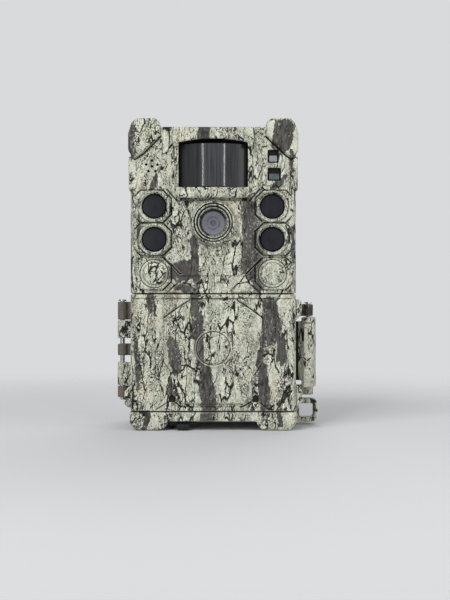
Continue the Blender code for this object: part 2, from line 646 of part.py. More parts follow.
def battery_cells():
    """Six cells, every other one upside down."""
    cells = []
    for row, y in enumerate(CELLS_Y):
        for column, x in enumerate(CELLS_X):
            cell = turned(f"battery_{len(cells) + 1}", CELL_PROFILE, "Z", (x, y, -45.1), 16, CELL)
            if (row + column) % 2:
                cell.rotation_euler = (math.pi, 0, 0)
            cells.append(cell)
    return cells


def lower_contact():
    """One strip with a dome under each cell."""
    strip = box("contact_strip", CONTACT_X, CONTACT_Y, (-73.0, -72.6), STEEL)
    for row, y in enumerate(CELLS_Y):
        for column, x in enumerate(CELLS_X):
            join(strip, cylinder(f"contact_dome_{column}_{row}", (x, y, -71.5), "Z", 3.6, 2.4, 8,
                                 end_radius=1.6))
    return strip


def battery_tray():
    upper_contact = box("battery_contacts", CONTACT_X, CONTACT_Y, (-19.95, -19.5), STEEL)
    mount("battery_tray_travel", (sum(TRAY_X) / 2, sum(TRAY_Y) / 2, -46),
          tray_body(), upper_contact, lower_contact(), *battery_cells())


# ================================================================ door
DOOR_LUGS = (   # name, x, z outline
    ("lug_upper_right", [(40.0, -15.0), (43.0, -15.0), (44.3, -16.6), (44.3, -22.4),
                         (41.4, -25.4), (40.0, -25.4)]),
    ("lug_lower_right", [(40.0, -57.0), (41.4, -57.0), (44.4, -60.6), (44.4, -66.4),
                         (42.8, -68.4), (40.0, -68.4)]),
    ("lug_lower_left", [(-40.0, -57.6), (-41.4, -57.6), (-44.4, -61.2), (-44.4, -67.0),
                        (-42.8, -69.0), (-40.0, -69.0)]),
)
DOOR_PANEL = [   # x, z
    (-15.4, -66.6), (14.6, -66.6), (20.6, -61.8), (20.6, -52.0), (24.4, -46.0), (24.4, -24.0),
    (12.5, -15.2), (-12.5, -15.2), (-24.4, -24.0), (-24.4, -46.0), (-20.6, -52.0), (-20.6, -61.8),
]
# x, z of the notch at each lower corner of the panel
NOTCH_LEFT = [(-22.0, -65.9), (-18.6, -65.9), (-18.9, -63.4), (-20.4, -62.0), (-22.0, -63.4)]
NOTCH_RIGHT = [(19.2, -65.9), (22.6, -65.9), (22.6, -63.4), (21.0, -62.0), (19.5, -63.4)]
DOOR_KNUCKLES = ((-35.2, -26.0), (-59.8, -47.7))   # z spans
EMBLEM_Z = -39.2
# radius, height
HINGE_PIN = [(0, 25.9), (1.9, 25.9), (2.1, 25.6), (2.1, 25.0), (1.2, 25.0), (1.2, -26.6),
             (0, -26.6)]


def door_shell():
    """The hollow door with its lugs, raised panel and grooves."""
    door = box("battery_door", about(0, HALF_W), (Y_FACE, Y_FRONT_END),
               (Z_DOOR_LOW, Z_DOOR_HIGH), CAMO, bevel=4.0, segments=3, edges=FRONT_UPRIGHTS)
    for name, outline in DOOR_LUGS:
        join(door, raised(name, outline, -56.0, 0.8, back=-34.0))
    join(door, raised("door_panel", DOOR_PANEL, -61.1, 0.7))
    cut(door,
        box("door_hollow", about(0, 38.9), (-50.6, -29.0), (-72.0, -14.8)),
        box("door_pocket", about(0, 38.7), (Y_FACE + WALL, -50.0), (-68.0, -15.0)),
        box("top_groove", about(0, 43.0), (-63.0, -59.5), (-15.0, -14.5)),
        channel("bottom_groove", (-17.7, -68.3), (13.8, -68.3), 0.6, -59.5),
        channel("panel_groove_left", (-18.9, -19.9), (-12.6, -15.7), 0.8, -60.1),
        channel("panel_groove_right", (18.9, -19.9), (12.6, -15.7), 0.8, -60.1),
        prism("notch_left", [NOTCH_LEFT], "Y", -62.0, -58.8),
        prism("notch_right", [NOTCH_RIGHT], "Y", -62.0, -58.8))
    return door


def battery_door():
    door = door_shell()
    rib = ring(rounded(about(0, 34.6), (-66.7, -16.1), 2.4),
               rounded(about(0, 33.5), (-65.6, -17.2), 1.6))
    join(door, prism("door_rib", rib, "Y", -58.4, -50.7))
    cut(door, cylinder("emblem_seat", (0, -61.4, EMBLEM_Z), "Y", 8.5, 1.8, 32))
    join_knuckles(door, "door_hinge_arm", "door_knuckle", HINGE, KNUCKLE_R,
                  (HINGE[0], -40.4), (Y_PART - 2.5, Y_PART - 0.4), DOOR_KNUCKLES)
    cut(door, pin_bore("door_pin_bore", HINGE, HINGE_BORE_R))
    emblem = cylinder("door_emblem", (0, -61.2, EMBLEM_Z), "Y", 8.2, 1.0, 32, CAMO, bevel=0.3)
    mount("door_hinge_axis", (*HINGE, -41.4), door, emblem)
    turned("hinge_pin", HINGE_PIN, "Z", (*HINGE, -40.9), 14, STEEL)


# ================================================================ latch and lock loop
LATCH_Z = -42.0
LEVER = [   # x, y
    (LATCH[0] + 2.6, LATCH[1]), (LATCH[0] + 2.9, -30.0), (LATCH[0] + 2.5, -38.0),
    (LATCH[0] + 0.9, -43.4), (49.6, -45.6), (46.4, -45.6), (45.2, -44.2), (42.0, -41.8),
    (42.0, -39.8), (45.6, -40.6), (47.6, -38.6), (48.3, -34.0), (48.2, LATCH[1]),
]
# radius, height
LATCH_PIN = [(0, 24.9), (1.6, 24.9), (1.9, 24.6), (1.9, 24.1), (1.1, 24.1), (1.1, -24.2),
             (0, -24.2)]


def latch():
    lever = prism("latch_lever", [LEVER], "Z", -59.8, -24.2, CAMO, bevel=0.7,
                  edges=lambda middle, way: abs(way.z) < 0.1 and middle.y < -28)
    join(lever, cylinder("latch_barrel", (*LATCH, LATCH_Z), "Z", BARREL_R, 35.6, 16))
    cut(lever, pin_bore("latch_barrel_bore", LATCH, LATCH_BORE_R, LATCH_Z))
    # the hook round the door's edge is shorter than the lever, to pass between the door's lugs
    hook_x, hook_y = (40.0, 45.3), (-48.0, -30.0)
    cut(lever,
        box("hook_end_upper", hook_x, hook_y, (-26.2, -20.0)),
        box("hook_end_lower", hook_x, hook_y, (-64.0, -56.4)))
    mount("latch_axis", (*LATCH, LATCH_Z), lever)
    turned("latch_pin", LATCH_PIN, "Z", (*LATCH, -41.2), 14, STEEL)


def lock_loop():
    outer = [(42.7, -66.8), *arc(51.6, -70.2, 3.4, 90, 0, 4), *arc(51.6, -75.6, 3.4, 0, -90, 4),
             (42.7, -79.0)]
    prism("lock_loop", ring(outer, rounded((45.0, 52.5), (-76.4, -69.4), 1.2)), "Y",
          -31.6, -25.4, CAMO, bevel=0.6, segments=1, edges=along("X"))


# ================================================================ fittings in the chin
COVER_AXIS = (JACK[0], -46.6, -76.8)
# turned profiles: radius, height
JACK_PROFILE = [(0, 1.2), (4.3, 1.2), (4.3, -2.2), (3.3, -2.2), (3.3, 0.5), (0.8, 0.5),
                (0.8, -1.2), (0, -1.2)]
PLUG_PROFILE = [(2.5, 0.7), (2.5, -1.6), (1.5, -1.6), (1.5, 0.7)]
INSERT_PROFILE = [(0, 0.7), (4.3, 0.7), (4.3, -2.4), (3.2, -2.4), (2.75, -1.9), (2.75, 0.1),
                  (0, 0.1)]
COVER_TAB = [(-57.2, -76.4), (-60.2, -77.0), (-60.2, -79.6), (-57.6, -79.6), (-54.0, -77.2)]  # y, z


def jack_and_cover():
    turned("dc_jack", JACK_PROFILE, "Z", (*JACK, -73.4), 18, BLACK)
    cover = box("port_cover", (-22.0, -8.0), (-57.4, -46.9), (-77.6, -76.0), RUBBER, bevel=0.6,
                edges=lambda middle, way: middle.z < -77)
    join(cover,
         turned("cover_plug", PLUG_PROFILE, "Z", (*JACK, -75.0), 14, closed=True),
         prism("cover_tab", [COVER_TAB], "X", -18.2, -11.8),
         cylinder("cover_hinge", COVER_AXIS, "X", 0.75, 8.0, 12))
    mount("port_cover_axis", COVER_AXIS, cover)


def tripod_insert():
    turned("tripod_insert", INSERT_PROFILE, "Z", (*INSERT, -73.2), 18, BRASS)


# ================================================================ tree bracket and screws
TEETH = 15                        # on each toothed rib
RIB_HALF = 55.0                   # half length of a rib
TOOTH_PITCH = 2 * RIB_HALF / TEETH
RIB_ROOT_Y, VALLEY_Y, TIP_Y = -6.2, -1.8, -0.3


def tree_bracket():
    bracket = box("tree_bracket", about(0, 29.0), (-7.7, -5.9), about(0, 57.0), BLACK,
                  bevel=5.0, segments=3, edges=along("Y"))
    join(bracket, box("centre_pad", about(0, 15.0), (-6.2, 0.0), about(0, 16.0), bevel=2.5,
                      segments=3, edges=along("Y")))
    outline = [(RIB_ROOT_Y, -RIB_HALF), (RIB_ROOT_Y, RIB_HALF)]
    for i in range(TEETH):
        z = RIB_HALF - i * TOOTH_PITCH
        outline += [(VALLEY_Y, z), (TIP_Y, z - TOOTH_PITCH / 2)]
    outline.append((VALLEY_Y, -RIB_HALF))
    for side, sign in SIDES:
        low, high = sorted((sign * 23.4, sign * 27.8))
        join(bracket, prism(f"toothed_rib_{side}", [outline], "X", low, high))
    # the strap passes through the plate here, and the outer parts of the ribs bridge the gap
    for label, z in (("upper", 38.0), ("lower", -38.0)):
        way = rounded((-10.0, -3.4), about(z, 13.2), 0.8, steps=2)
        cut(bracket, prism(f"strap_way_{label}", [way], "X", -32.0, 32.0))
    for i, z in enumerate(BRACKET_SCREWS_Z):
        cut(bracket, cylinder(f"bracket_hole_{i}", (0, -6, z), "Y", 1.7, 8, 16))


def screw(name, at, head_radius, shank_radius, head, shank):
    """A screw pointing into the shell (-Y), with a six-sided recess; head, shank are lengths."""
    profile = [(0, 0.0), (head_radius * 0.75, 0.0), (head_radius, -0.5), (head_radius, -head),
               (shank_radius, -head), (shank_radius, -head - shank), (0, -head - shank)]
    body = turned(name, profile, "Z", at, 12, STEEL)
    body.rotation_euler = (-math.pi / 2, 0, 0)
    cut(body, cylinder(name + "_recess", at, "Y", head_radius * 0.45, 1.8, 6))


def screws():
    for i, (x, z) in enumerate(CASE_SCREWS, 1):
        screw(f"case_screw_{i}", (x, -7.2, z), head_radius=2.6, shank_radius=1.35, head=1.6,
              shank=24.0)
    for i, z in enumerate(BRACKET_SCREWS_Z, 1):
        screw(f"bracket_screw_{i}", (0, -4.1, z), head_radius=2.4, shank_radius=1.25, head=1.5,
              shank=5.0)


def shade_parts():
    """Smooth shading with sharp edges kept."""
    for piece in PARTS.objects:
        if piece.type == "MESH":
            piece.data.shade_smooth()
            piece.data.set_sharp_from_angle(angle=math.radians(35))


# ================================================================ build
rear_fittings(rear_shell())
front_openings(front_shell())
motion_sensor()
camera_optics()
for side_name, side_sign in SIDES:
    lamps(side_name, side_sign)
small_windows_and_microphone()
main_board()
housing_seal()
chassis()
control_panel()
mode_switch()
card_and_socket()
door_seal()
battery_tray()
battery_door()
latch()
lock_loop()
jack_and_cover()
tripod_insert()
tree_bracket()
screws()
shade_parts()
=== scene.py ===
import json
import math

import bmesh
import bpy
import numpy as np
from mathutils import Matrix, Vector

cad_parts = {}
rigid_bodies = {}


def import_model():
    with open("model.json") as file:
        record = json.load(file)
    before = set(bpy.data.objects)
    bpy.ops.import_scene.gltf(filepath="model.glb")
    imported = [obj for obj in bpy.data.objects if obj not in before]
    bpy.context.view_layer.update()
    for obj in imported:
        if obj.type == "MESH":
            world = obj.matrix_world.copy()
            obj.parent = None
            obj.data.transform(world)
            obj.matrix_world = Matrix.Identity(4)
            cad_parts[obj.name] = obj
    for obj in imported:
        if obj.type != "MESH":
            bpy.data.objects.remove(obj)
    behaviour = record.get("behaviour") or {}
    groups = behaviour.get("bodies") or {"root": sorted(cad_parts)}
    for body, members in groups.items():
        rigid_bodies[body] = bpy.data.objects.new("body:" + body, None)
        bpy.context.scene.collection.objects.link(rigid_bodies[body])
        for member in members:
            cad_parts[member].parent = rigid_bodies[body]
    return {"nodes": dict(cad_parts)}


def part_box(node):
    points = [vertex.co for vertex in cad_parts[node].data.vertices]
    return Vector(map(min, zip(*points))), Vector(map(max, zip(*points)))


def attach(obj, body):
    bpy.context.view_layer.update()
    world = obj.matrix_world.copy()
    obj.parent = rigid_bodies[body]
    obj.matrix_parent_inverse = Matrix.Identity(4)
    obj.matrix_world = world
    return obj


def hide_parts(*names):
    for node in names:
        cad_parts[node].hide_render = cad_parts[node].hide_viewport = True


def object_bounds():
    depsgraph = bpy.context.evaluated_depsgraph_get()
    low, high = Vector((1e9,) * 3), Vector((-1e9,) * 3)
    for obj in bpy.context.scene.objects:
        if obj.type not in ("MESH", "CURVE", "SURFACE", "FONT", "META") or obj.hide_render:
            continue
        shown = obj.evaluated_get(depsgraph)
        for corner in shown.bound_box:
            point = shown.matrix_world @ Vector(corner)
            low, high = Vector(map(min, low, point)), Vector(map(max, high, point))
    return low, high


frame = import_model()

MM = 0.001
NODES = frame["nodes"]
CAD_LO, CAD_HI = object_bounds()
scene = bpy.context.scene


# ================================================================ node-tree helper
class Tree:
    """Short calls for building a procedural material."""

    def __init__(self, name):
        self.mat = bpy.data.materials.new(name)
        self.mat.use_nodes = True
        self.t = self.mat.node_tree
        self.bsdf = self.t.nodes["Principled BSDF"]
        self.co = self.t.nodes.new("ShaderNodeTexCoord").outputs["Object"]
        self.p = self.vec("MULTIPLY", self.co, (1000.0, 1000.0, 1000.0))   # millimetres

    def put(self, socket, value):
        if value is None:
            return
        if isinstance(value, bpy.types.NodeSocket):
            self.t.links.new(value, socket)
        elif isinstance(value, (tuple, list)) and len(value) == 3 and len(getattr(socket, "default_value", [0] * 3)) == 4:
            socket.default_value = (*value, 1.0)
        else:
            socket.default_value = value

    def vec(self, op, a, b=None):
        n = self.t.nodes.new("ShaderNodeVectorMath")
        n.operation = op
        self.put(n.inputs[0], a)
        if b is not None:
            self.put(n.inputs[1], b)
        return n.outputs[1] if op in ("LENGTH", "DISTANCE", "DOT_PRODUCT") else n.outputs[0]

    def m(self, op, a, b=None, c=None, clamp=False):
        n = self.t.nodes.new("ShaderNodeMath")
        n.operation = op
        n.use_clamp = clamp
        for s, v in zip(n.inputs, (a, b, c)):
            self.put(s, v)
        return n.outputs[0]

    def noise(self, vec, scale=1.0, detail=2.0, rough=0.5, distort=0.0, colour=False):
        n = self.t.nodes.new("ShaderNodeTexNoise")
        self.put(n.inputs["Vector"], vec)
        n.inputs["Scale"].default_value = scale
        n.inputs["Detail"].default_value = detail
        n.inputs["Roughness"].default_value = rough
        n.inputs["Distortion"].default_value = distort
        return n.outputs["Color" if colour else "Fac"]

    def voronoi(self, vec, scale=1.0, feature="DISTANCE_TO_EDGE", rand=1.0):
        n = self.t.nodes.new("ShaderNodeTexVoronoi")
        n.feature = feature
        self.put(n.inputs["Vector"], vec)
        n.inputs["Scale"].default_value = scale
        n.inputs["Randomness"].default_value = rand
        return n.outputs["Distance"]

    def step(self, v, lo, hi, a=0.0, b=1.0, smooth=True):
        n = self.t.nodes.new("ShaderNodeMapRange")
        n.interpolation_type = "SMOOTHSTEP" if smooth else "LINEAR"
        self.put(n.inputs["Value"], v)
        n.inputs["From Min"].default_value = lo
        n.inputs["From Max"].default_value = hi
        n.inputs["To Min"].default_value = a
        n.inputs["To Max"].default_value = b
        return n.outputs["Result"]

    def mix(self, f, a, b, mode="MIX"):
        n = self.t.nodes.new("ShaderNodeMix")
        n.data_type = "RGBA"
        n.blend_type = mode
        n.clamp_factor = True
        self.put(n.inputs[0], f)
        self.put(n.inputs[6], a)
        self.put(n.inputs[7], b)
        return n.outputs[2]

    def ramp(self, v, stops):
        n = self.t.nodes.new("ShaderNodeValToRGB")
        self.put(n.inputs["Fac"], v)
        e = n.color_ramp.elements
        while len(e) < len(stops):
            e.new(0.5)
        for k, (at, colour) in zip(e, stops):
            k.position = at
            k.color = (*colour, 1.0)
        return n.outputs["Color"]

    def split(self, v):
        n = self.t.nodes.new("ShaderNodeSeparateXYZ")
        self.put(n.inputs[0], v)
        return n.outputs[0], n.outputs[1], n.outputs[2]

    def bump(self, height, strength=0.3, distance=0.0001):
        n = self.t.nodes.new("ShaderNodeBump")
        n.inputs["Strength"].default_value = strength
        n.inputs["Distance"].default_value = distance
        self.put(n.inputs["Height"], height)
        return n.outputs["Normal"]

    def painted_edge_highlight(self, base, amount=0.25, radius=0.0006):
        """Painted highlight: convex edges go a little lighter."""
        n = self.t.nodes.new("ShaderNodeNewGeometry")
        d = self.step(n.outputs["Pointiness"], 0.505, 0.56)
        return self.mix(self.m("MULTIPLY", d, amount), base, (0.75, 0.75, 0.7))

    def end(self, colour, rough, normal=None, metallic=0.0, **inputs):
        self.put(self.bsdf.inputs["Base Color"], colour)
        self.put(self.bsdf.inputs["Roughness"], rough)
        self.put(self.bsdf.inputs["Metallic"], metallic)
        if normal is not None:
            self.put(self.bsdf.inputs["Normal"], normal)
        for k, v in inputs.items():
            self.put(self.bsdf.inputs[k.replace("_", " ")], v)
        return self.mat


def lin(r, g, b):
    """An 8-bit display colour as linear values."""
    return tuple(((c / 255 + 0.055) / 1.055) ** 2.4 if c > 10 else c / 255 / 12.92 for c in (r, g, b))


# ================================================================ materials
# broad dark strips of the bark print on the front: centre x, z, half width, half height, lean
STRIPS = [
    (34.4, 66.0, 5.2, 8.6, 0.1), (-40.6, 64.5, 1.9, 9.0, 0.0), (-4.8, 67.5, 3.0, 5.0, 0.0), (38.6, 53.5, 1.3, 6.0, 0.0),
    (17.6, 24.0, 3.3, 12.0, -0.05), (19.0, 5.5, 4.6, 10.5, 0.0), (21.4, -6.5, 2.6, 6.5, -0.2), (33.0, 43.0, 1.6, 4.0, 0.8),
    (-9.2, 4.2, 2.3, 12.5, -0.05), (-15.0, -1.2, 7.6, 5.0, 0.3), (-15.0, -9.6, 4.6, 2.2, 0.0), (-29.6, 42.0, 1.2, 4.5, 0.3),
    (-8.9, -17.0, 2.0, 7.0, -0.1), (-7.6, -28.0, 2.5, 6.5, 0.15), (-7.0, -39.5, 2.2, 9.0, -0.1), (-3.0, -62.0, 3.3, 15.0, -0.03),
    (28.8, -25.0, 4.3, 11.5, -0.1), (34.2, -40.0, 2.3, 8.0, 0.0), (23.4, -41.0, 1.3, 8.0, 0.12), (25.4, -58.5, 2.6, 12.5, -0.08),
    (-19.2, -43.5, 2.4, 9.5, -0.12), (-31.0, -17.0, 2.4, 4.6, 0.0), (-38.2, -47.0, 1.2, 12.0, -0.1), (-20.6, -61.0, 1.2, 7.0, -0.1),
    (-36.8, 20.0, 1.0, 7.0, 0.0), (39.4, 12.0, 1.0, 9.0, 0.0), (-33.0, -75.0, 1.6, 4.0, 0.3), (33.0, -74.0, 1.4, 4.5, 0.0),
]


def bark_camo(name, seed=0.0, plain=None, well_shade=0.0, bare=(), light=0.0, rings=()):
    """Printed bark camouflage: pale lichen, smooth grey strips, black cracks and specks, all drawn out up and down."""
    t = Tree(name)
    turn = t.t.nodes.new("ShaderNodeVectorRotate")      # turned, so that no flat face lies along the noise's own grid
    turn.rotation_type = "EULER_XYZ"
    turn.inputs["Rotation"].default_value = (0.07, -0.06, 0.62)
    t.put(turn.inputs["Vector"], t.p)
    p = t.vec("ADD", turn.outputs["Vector"], (seed * 37.0 + 4.0, seed * 11.0, seed * 53.0))
    warp1 = t.vec("SUBTRACT", t.noise(t.vec("MULTIPLY", p, (0.06, 0.06, 0.025)), 1.0, 2.0, 0.5, colour=True), (0.5, 0.5, 0.5))
    warp2 = t.vec("SUBTRACT", t.noise(t.vec("MULTIPLY", p, (0.42, 0.42, 0.2)), 1.0, 3.0, 0.6, colour=True), (0.5, 0.5, 0.5))
    wp = t.vec("ADD", p, t.vec("MULTIPLY", warp1, (14.0, 14.0, 16.0)))
    wp2 = t.vec("ADD", wp, t.vec("MULTIPLY", warp2, (3.0, 3.0, 4.0)))

    # lichen: pale, with greyer streaks
    streak = t.noise(t.vec("MULTIPLY", wp2, (0.26, 0.26, 0.06)), 1.0, 4.0, 0.6)
    grain = t.noise(t.vec("MULTIPLY", p, (2.0, 2.0, 1.2)), 1.0, 3.0, 0.75)
    v = t.m("ADD", t.m("MULTIPLY", streak, 0.55), t.m("MULTIPLY", grain, 0.45 - 0.15 * light))
    v = t.m("ADD", v, 0.09 * light)
    base = t.ramp(v, [(0.36, lin(72, 71, 64)), (0.43, lin(140, 140, 127)), (0.49, lin(184, 186, 167)), (0.58, lin(203, 205, 187)),
                      (0.70, lin(214, 215, 199))])
    tint = t.noise(t.vec("MULTIPLY", wp, (0.1, 0.1, 0.06)), 1.0, 2.0, 0.5)
    tint2 = t.noise(t.vec("MULTIPLY", t.vec("ADD", wp, (71.0, 3.0, 19.0)), (0.12, 0.12, 0.07)), 1.0, 2.0, 0.5)
    base = t.mix(t.step(tint, 0.57, 0.68, 0.0, 0.5), base, t.mix(1.0, base, (0.97, 0.80, 0.74), "MULTIPLY"))
    base = t.mix(t.step(tint2, 0.57, 0.70, 0.0, 0.45), base, t.mix(1.0, base, (0.92, 0.98, 0.72), "MULTIPLY"))
    base = t.mix(t.step(tint, 0.44, 0.34, 0.0, 0.45), base, t.mix(1.0, base, (0.82, 0.95, 0.93), "MULTIPLY"))
    base = t.mix(t.step(tint2, 0.44, 0.32, 0.0, 0.7), base, t.mix(1.0, base, (0.80, 0.78, 0.82), "MULTIPLY"))

    # specks, thick in some streaks and absent in others
    cloud = t.noise(t.vec("MULTIPLY", wp2, (0.15, 0.15, 0.05)), 1.0, 3.0, 0.6)
    fleck = t.noise(t.vec("MULTIPLY", wp, (2.1, 2.1, 1.1)), 1.0, 2.0, 0.65)
    thr = t.step(cloud, 0.36, 0.62, 0.486 + 0.12 * light, 0.665 + 0.12 * light, smooth=False)
    specks = t.step(t.m("SUBTRACT", fleck, thr), 0.0, 0.03)
    fleck2 = t.noise(t.vec("MULTIPLY", t.vec("ADD", p, (17.0, 5.0, 29.0)), (1.3, 1.3, 0.8)), 1.0, 1.0, 0.5)
    pale = t.step(fleck2, 0.63, 0.67)
    grit = t.noise(t.vec("MULTIPLY", t.vec("ADD", p, (3.0, 41.0, 8.0)), (2.3, 2.3, 1.7)), 1.0, 1.0, 0.6)
    grit = t.m("MULTIPLY", t.step(grit, 0.54, 0.60), t.step(cloud, 0.62, 0.42, 0.35, 0.8))

    # broad smooth dark strips
    x, y, z = t.split(wp2 if seed else t.vec("ADD", t.p, t.vec("ADD", t.vec("MULTIPLY", warp1, (2.5, 0.0, 3.0)), t.vec("MULTIPLY", warp2, (4.2, 0.0, 5.0)))))
    near = None
    for cx, cz, rx, rz, lean in STRIPS:
        dz = t.m("SUBTRACT", z, cz)
        dx = t.m("SUBTRACT", t.m("SUBTRACT", x, cx), t.m("MULTIPLY", dz, lean))
        e = t.m("ADD", t.m("POWER", t.m("ABSOLUTE", t.m("DIVIDE", dx, rx)), 2.0), t.m("POWER", t.m("ABSOLUTE", t.m("DIVIDE", dz, rz)), 4.0))
        near = e if near is None else t.m("MINIMUM", near, e)
    near = t.m("ADD", near, t.m("MULTIPLY", t.m("SUBTRACT", grain, 0.5), 1.1))      # ragged edges
    _, py, _ = t.split(t.p)
    front = t.step(py, -50.0, -56.0)
    blotch = t.noise(t.vec("MULTIPLY", wp2, (0.1, 0.1, 0.03)), 1.0, 3.0, 0.55)
    strip = t.m("MULTIPLY", t.step(near, 1.06, 0.96), front)
    strip = t.m("MAXIMUM", strip, t.m("MULTIPLY", t.step(blotch, 0.575 + 0.2 * light, 0.585 + 0.2 * light), t.m("SUBTRACT", 1.0, front)))
    rim = t.m("MULTIPLY", t.m("MULTIPLY", t.step(near, 0.98, 1.08), t.step(near, 1.75, 1.3)), front)
    rim = t.m("MULTIPLY", rim, t.step(cloud, 0.52, 0.44))
    smooth_grey = t.noise(t.vec("MULTIPLY", p, (0.9, 0.9, 0.2)), 1.0, 3.0, 0.6)
    dark = t.ramp(smooth_grey, [(0.32, lin(52, 51, 48)), (0.5, lin(71, 69, 66)), (0.68, lin(93, 91, 86))])
    scuff = t.m("MULTIPLY", t.step(fleck2, 0.60, 0.66), t.step(cloud, 0.58, 0.46))

    # cracks: broken cell edges at two scales, and long wandering lines, each with a pale lip
    lips = []
    def cells(sx, sz, width, offset, lo, hi):
        q = t.vec("ADD", wp2, offset)
        d = t.voronoi(t.vec("MULTIPLY", q, (sx, sx, sz)))
        gate = t.step(t.noise(t.vec("MULTIPLY", q, (0.16, 0.16, 0.08)), 1.0, 2.0, 0.55), lo, hi)
        lips.append(t.m("MULTIPLY", t.step(d, width * 2.6, width * 1.5), gate))
        return t.m("MULTIPLY", t.step(d, width, width * 0.4), gate)

    def contour(sx, sz, width, offset, lo, hi):
        q = t.vec("ADD", wp2, offset)
        n = t.noise(t.vec("MULTIPLY", q, (sx, sx, sz)), 1.0, 2.0, 0.5)
        gate = t.step(t.noise(t.vec("MULTIPLY", q, (0.13, 0.13, 0.07)), 1.0, 2.0, 0.5), lo, hi)
        away = t.m("ABSOLUTE", t.m("SUBTRACT", n, 0.5))
        lips.append(t.m("MULTIPLY", t.step(away, width * 2.6, width * 1.5), gate))
        return t.m("MULTIPLY", t.step(away, width, width * 0.4), gate)

    cracks = t.m("MAXIMUM", cells(0.2, 0.06, 0.076, (0.0, 0.0, 0.0), 0.47, 0.53), cells(0.5, 0.23, 0.105, (31.0, 7.0, 13.0), 0.55, 0.61))
    cracks = t.m("MAXIMUM", cracks, contour(0.17, 0.03, 0.016, (5.0, 50.0, 9.0), 0.46, 0.52))
    cracks = t.m("MAXIMUM", cracks, contour(0.55, 0.17, 0.022, (80.0, 20.0, 44.0), 0.52, 0.58))

    lip = lips[0]
    for other in lips[1:]:
        lip = t.m("MAXIMUM", lip, other)
    base = t.mix(t.m("MULTIPLY", lip, 0.5), base, lin(222, 224, 207))
    base = t.mix(t.m("MULTIPLY", grit, 0.84), base, lin(82, 82, 72))
    base = t.mix(t.m("MULTIPLY", specks, 0.97), base, lin(14, 14, 12))
    base = t.mix(t.m("MULTIPLY", pale, 0.6), base, lin(222, 224, 208))
    base = t.mix(t.m("MULTIPLY", rim, 0.8), base, lin(24, 24, 21))
    base = t.mix(t.m("MULTIPLY", strip, t.m("SUBTRACT", 1.0, t.m("MULTIPLY", scuff, 0.35))), base, dark)
    base = t.mix(t.m("MULTIPLY", cracks, t.m("SUBTRACT", 0.97, t.m("MULTIPLY", strip, 0.55))), base, lin(9, 9, 8))

    # painted shade in the moulded grooves, and a painted highlight along their outer edges
    geo = t.t.nodes.new("ShaderNodeNewGeometry")
    point = geo.outputs["Pointiness"]
    base = t.mix(t.step(point, 0.490, 0.462, 0.0, 0.95), base, lin(14, 13, 12))
    base = t.mix(t.step(point, 0.515, 0.55, 0.0, 0.28), base, lin(208, 209, 192))

    if well_shade:   # painted shade in the well round the lens: darker the deeper it goes
        _, depth, _ = t.split(t.p)
        base = t.mix(t.step(depth, -63.2, -59.6, 0.0, well_shade), base, lin(40, 38, 34))

    if rings:   # painted shadow at the foot of each terrace round the lens, thickest on the side away from the light
        rx, _, rz = t.split(t.vec("SUBTRACT", t.p, (0.0, 0.0, LENS_Z)))
        r = t.m("SQRT", t.m("ADD", t.m("POWER", rx, 2.0), t.m("POWER", rz, 2.0)))
        shade = t.step(t.m("DIVIDE", t.m("SUBTRACT", rz, rx), t.m("MAXIMUM", r, 1.0)), -1.3, -0.25, 0.14, 1.0)
        for foot, width in rings:
            base = t.mix(t.m("MULTIPLY", t.step(t.m("ABSOLUTE", t.m("SUBTRACT", r, foot)), width, width * 0.7), shade), base, lin(10, 9, 8))

    if bare:   # the print is only on the outside; inner walls are the bare dark plastic, and in small recesses and narrow gaps the same dark is painted shade
        inside = None
        for box in bare:
            within = None
            for axis, (lo, hi) in zip(t.split(t.p), box):
                f = t.m("MULTIPLY", t.step(axis, lo - 0.05, lo + 0.05), t.step(axis, hi + 0.05, hi - 0.05))
                within = f if within is None else t.m("MULTIPLY", within, f)
            inside = within if inside is None else t.m("MAXIMUM", inside, within)
        fine = t.noise(t.p, 1.8, 3.0, 0.6)
        base = t.mix(inside, base, t.ramp(fine, [(0.3, lin(28, 27, 26)), (0.7, lin(46, 44, 42))]))

    if plain is not None:   # unprinted plastic past this x
        px, _, _ = t.split(t.p)
        cover = t.step(px, plain - 0.2, plain + 0.2, 1.0, 0.0)
        speck = t.noise(t.p, 2.2, 3.0, 0.6)
        bare = t.ramp(speck, [(0.3, lin(84, 78, 72)), (0.7, lin(122, 114, 106))])
        base = t.mix(cover, base, bare)

    film = t.noise(t.p, 3.0, 3.0, 0.6)
    relief = t.m("ADD", t.m("MULTIPLY", film, 0.5), t.m("MULTIPLY", t.m("SUBTRACT", 1.0, cracks), 0.7))
    relief = t.m("ADD", relief, t.m("MULTIPLY", grain, 0.35))
    rough = t.m("ADD", t.step(film, 0.3, 0.7, 0.5, 0.66), t.m("MULTIPLY", strip, -0.06))
    return t.end(base, rough, t.bump(relief, 0.35, 0.00012), Specular_IOR_Level=t.m("MULTIPLY", t.m("SUBTRACT", 1.0, t.m("MULTIPLY", cracks, 0.7)), 0.26))


def moulded(name, colour, rough=0.5, grain=1.6, vary=0.25, bump=0.25, spec=0.5, edge=0.0):
    """Moulded plastic or rubber: fine spark-eroded texture, faint cloudiness, rubbed patches."""
    t = Tree(name)
    cloud = t.noise(t.p, 0.09, 3.0, 0.55)
    fine = t.noise(t.p, grain, 3.0, 0.65)
    low = tuple(c * (1.0 - vary) for c in colour)
    high = tuple(min(1.0, c * (1.0 + vary) + 0.006 * vary) for c in colour)
    base = t.mix(t.step(t.m("ADD", t.m("MULTIPLY", cloud, 0.6), t.m("MULTIPLY", fine, 0.4)), 0.35, 0.65), low, high)
    if edge:
        base = t.painted_edge_highlight(base, edge)
    r = t.m("ADD", t.step(cloud, 0.3, 0.7, rough - 0.06, rough + 0.08), t.m("MULTIPLY", fine, 0.06))
    return t.end(base, r, t.bump(fine, bump, 0.00008), Specular_IOR_Level=spec)


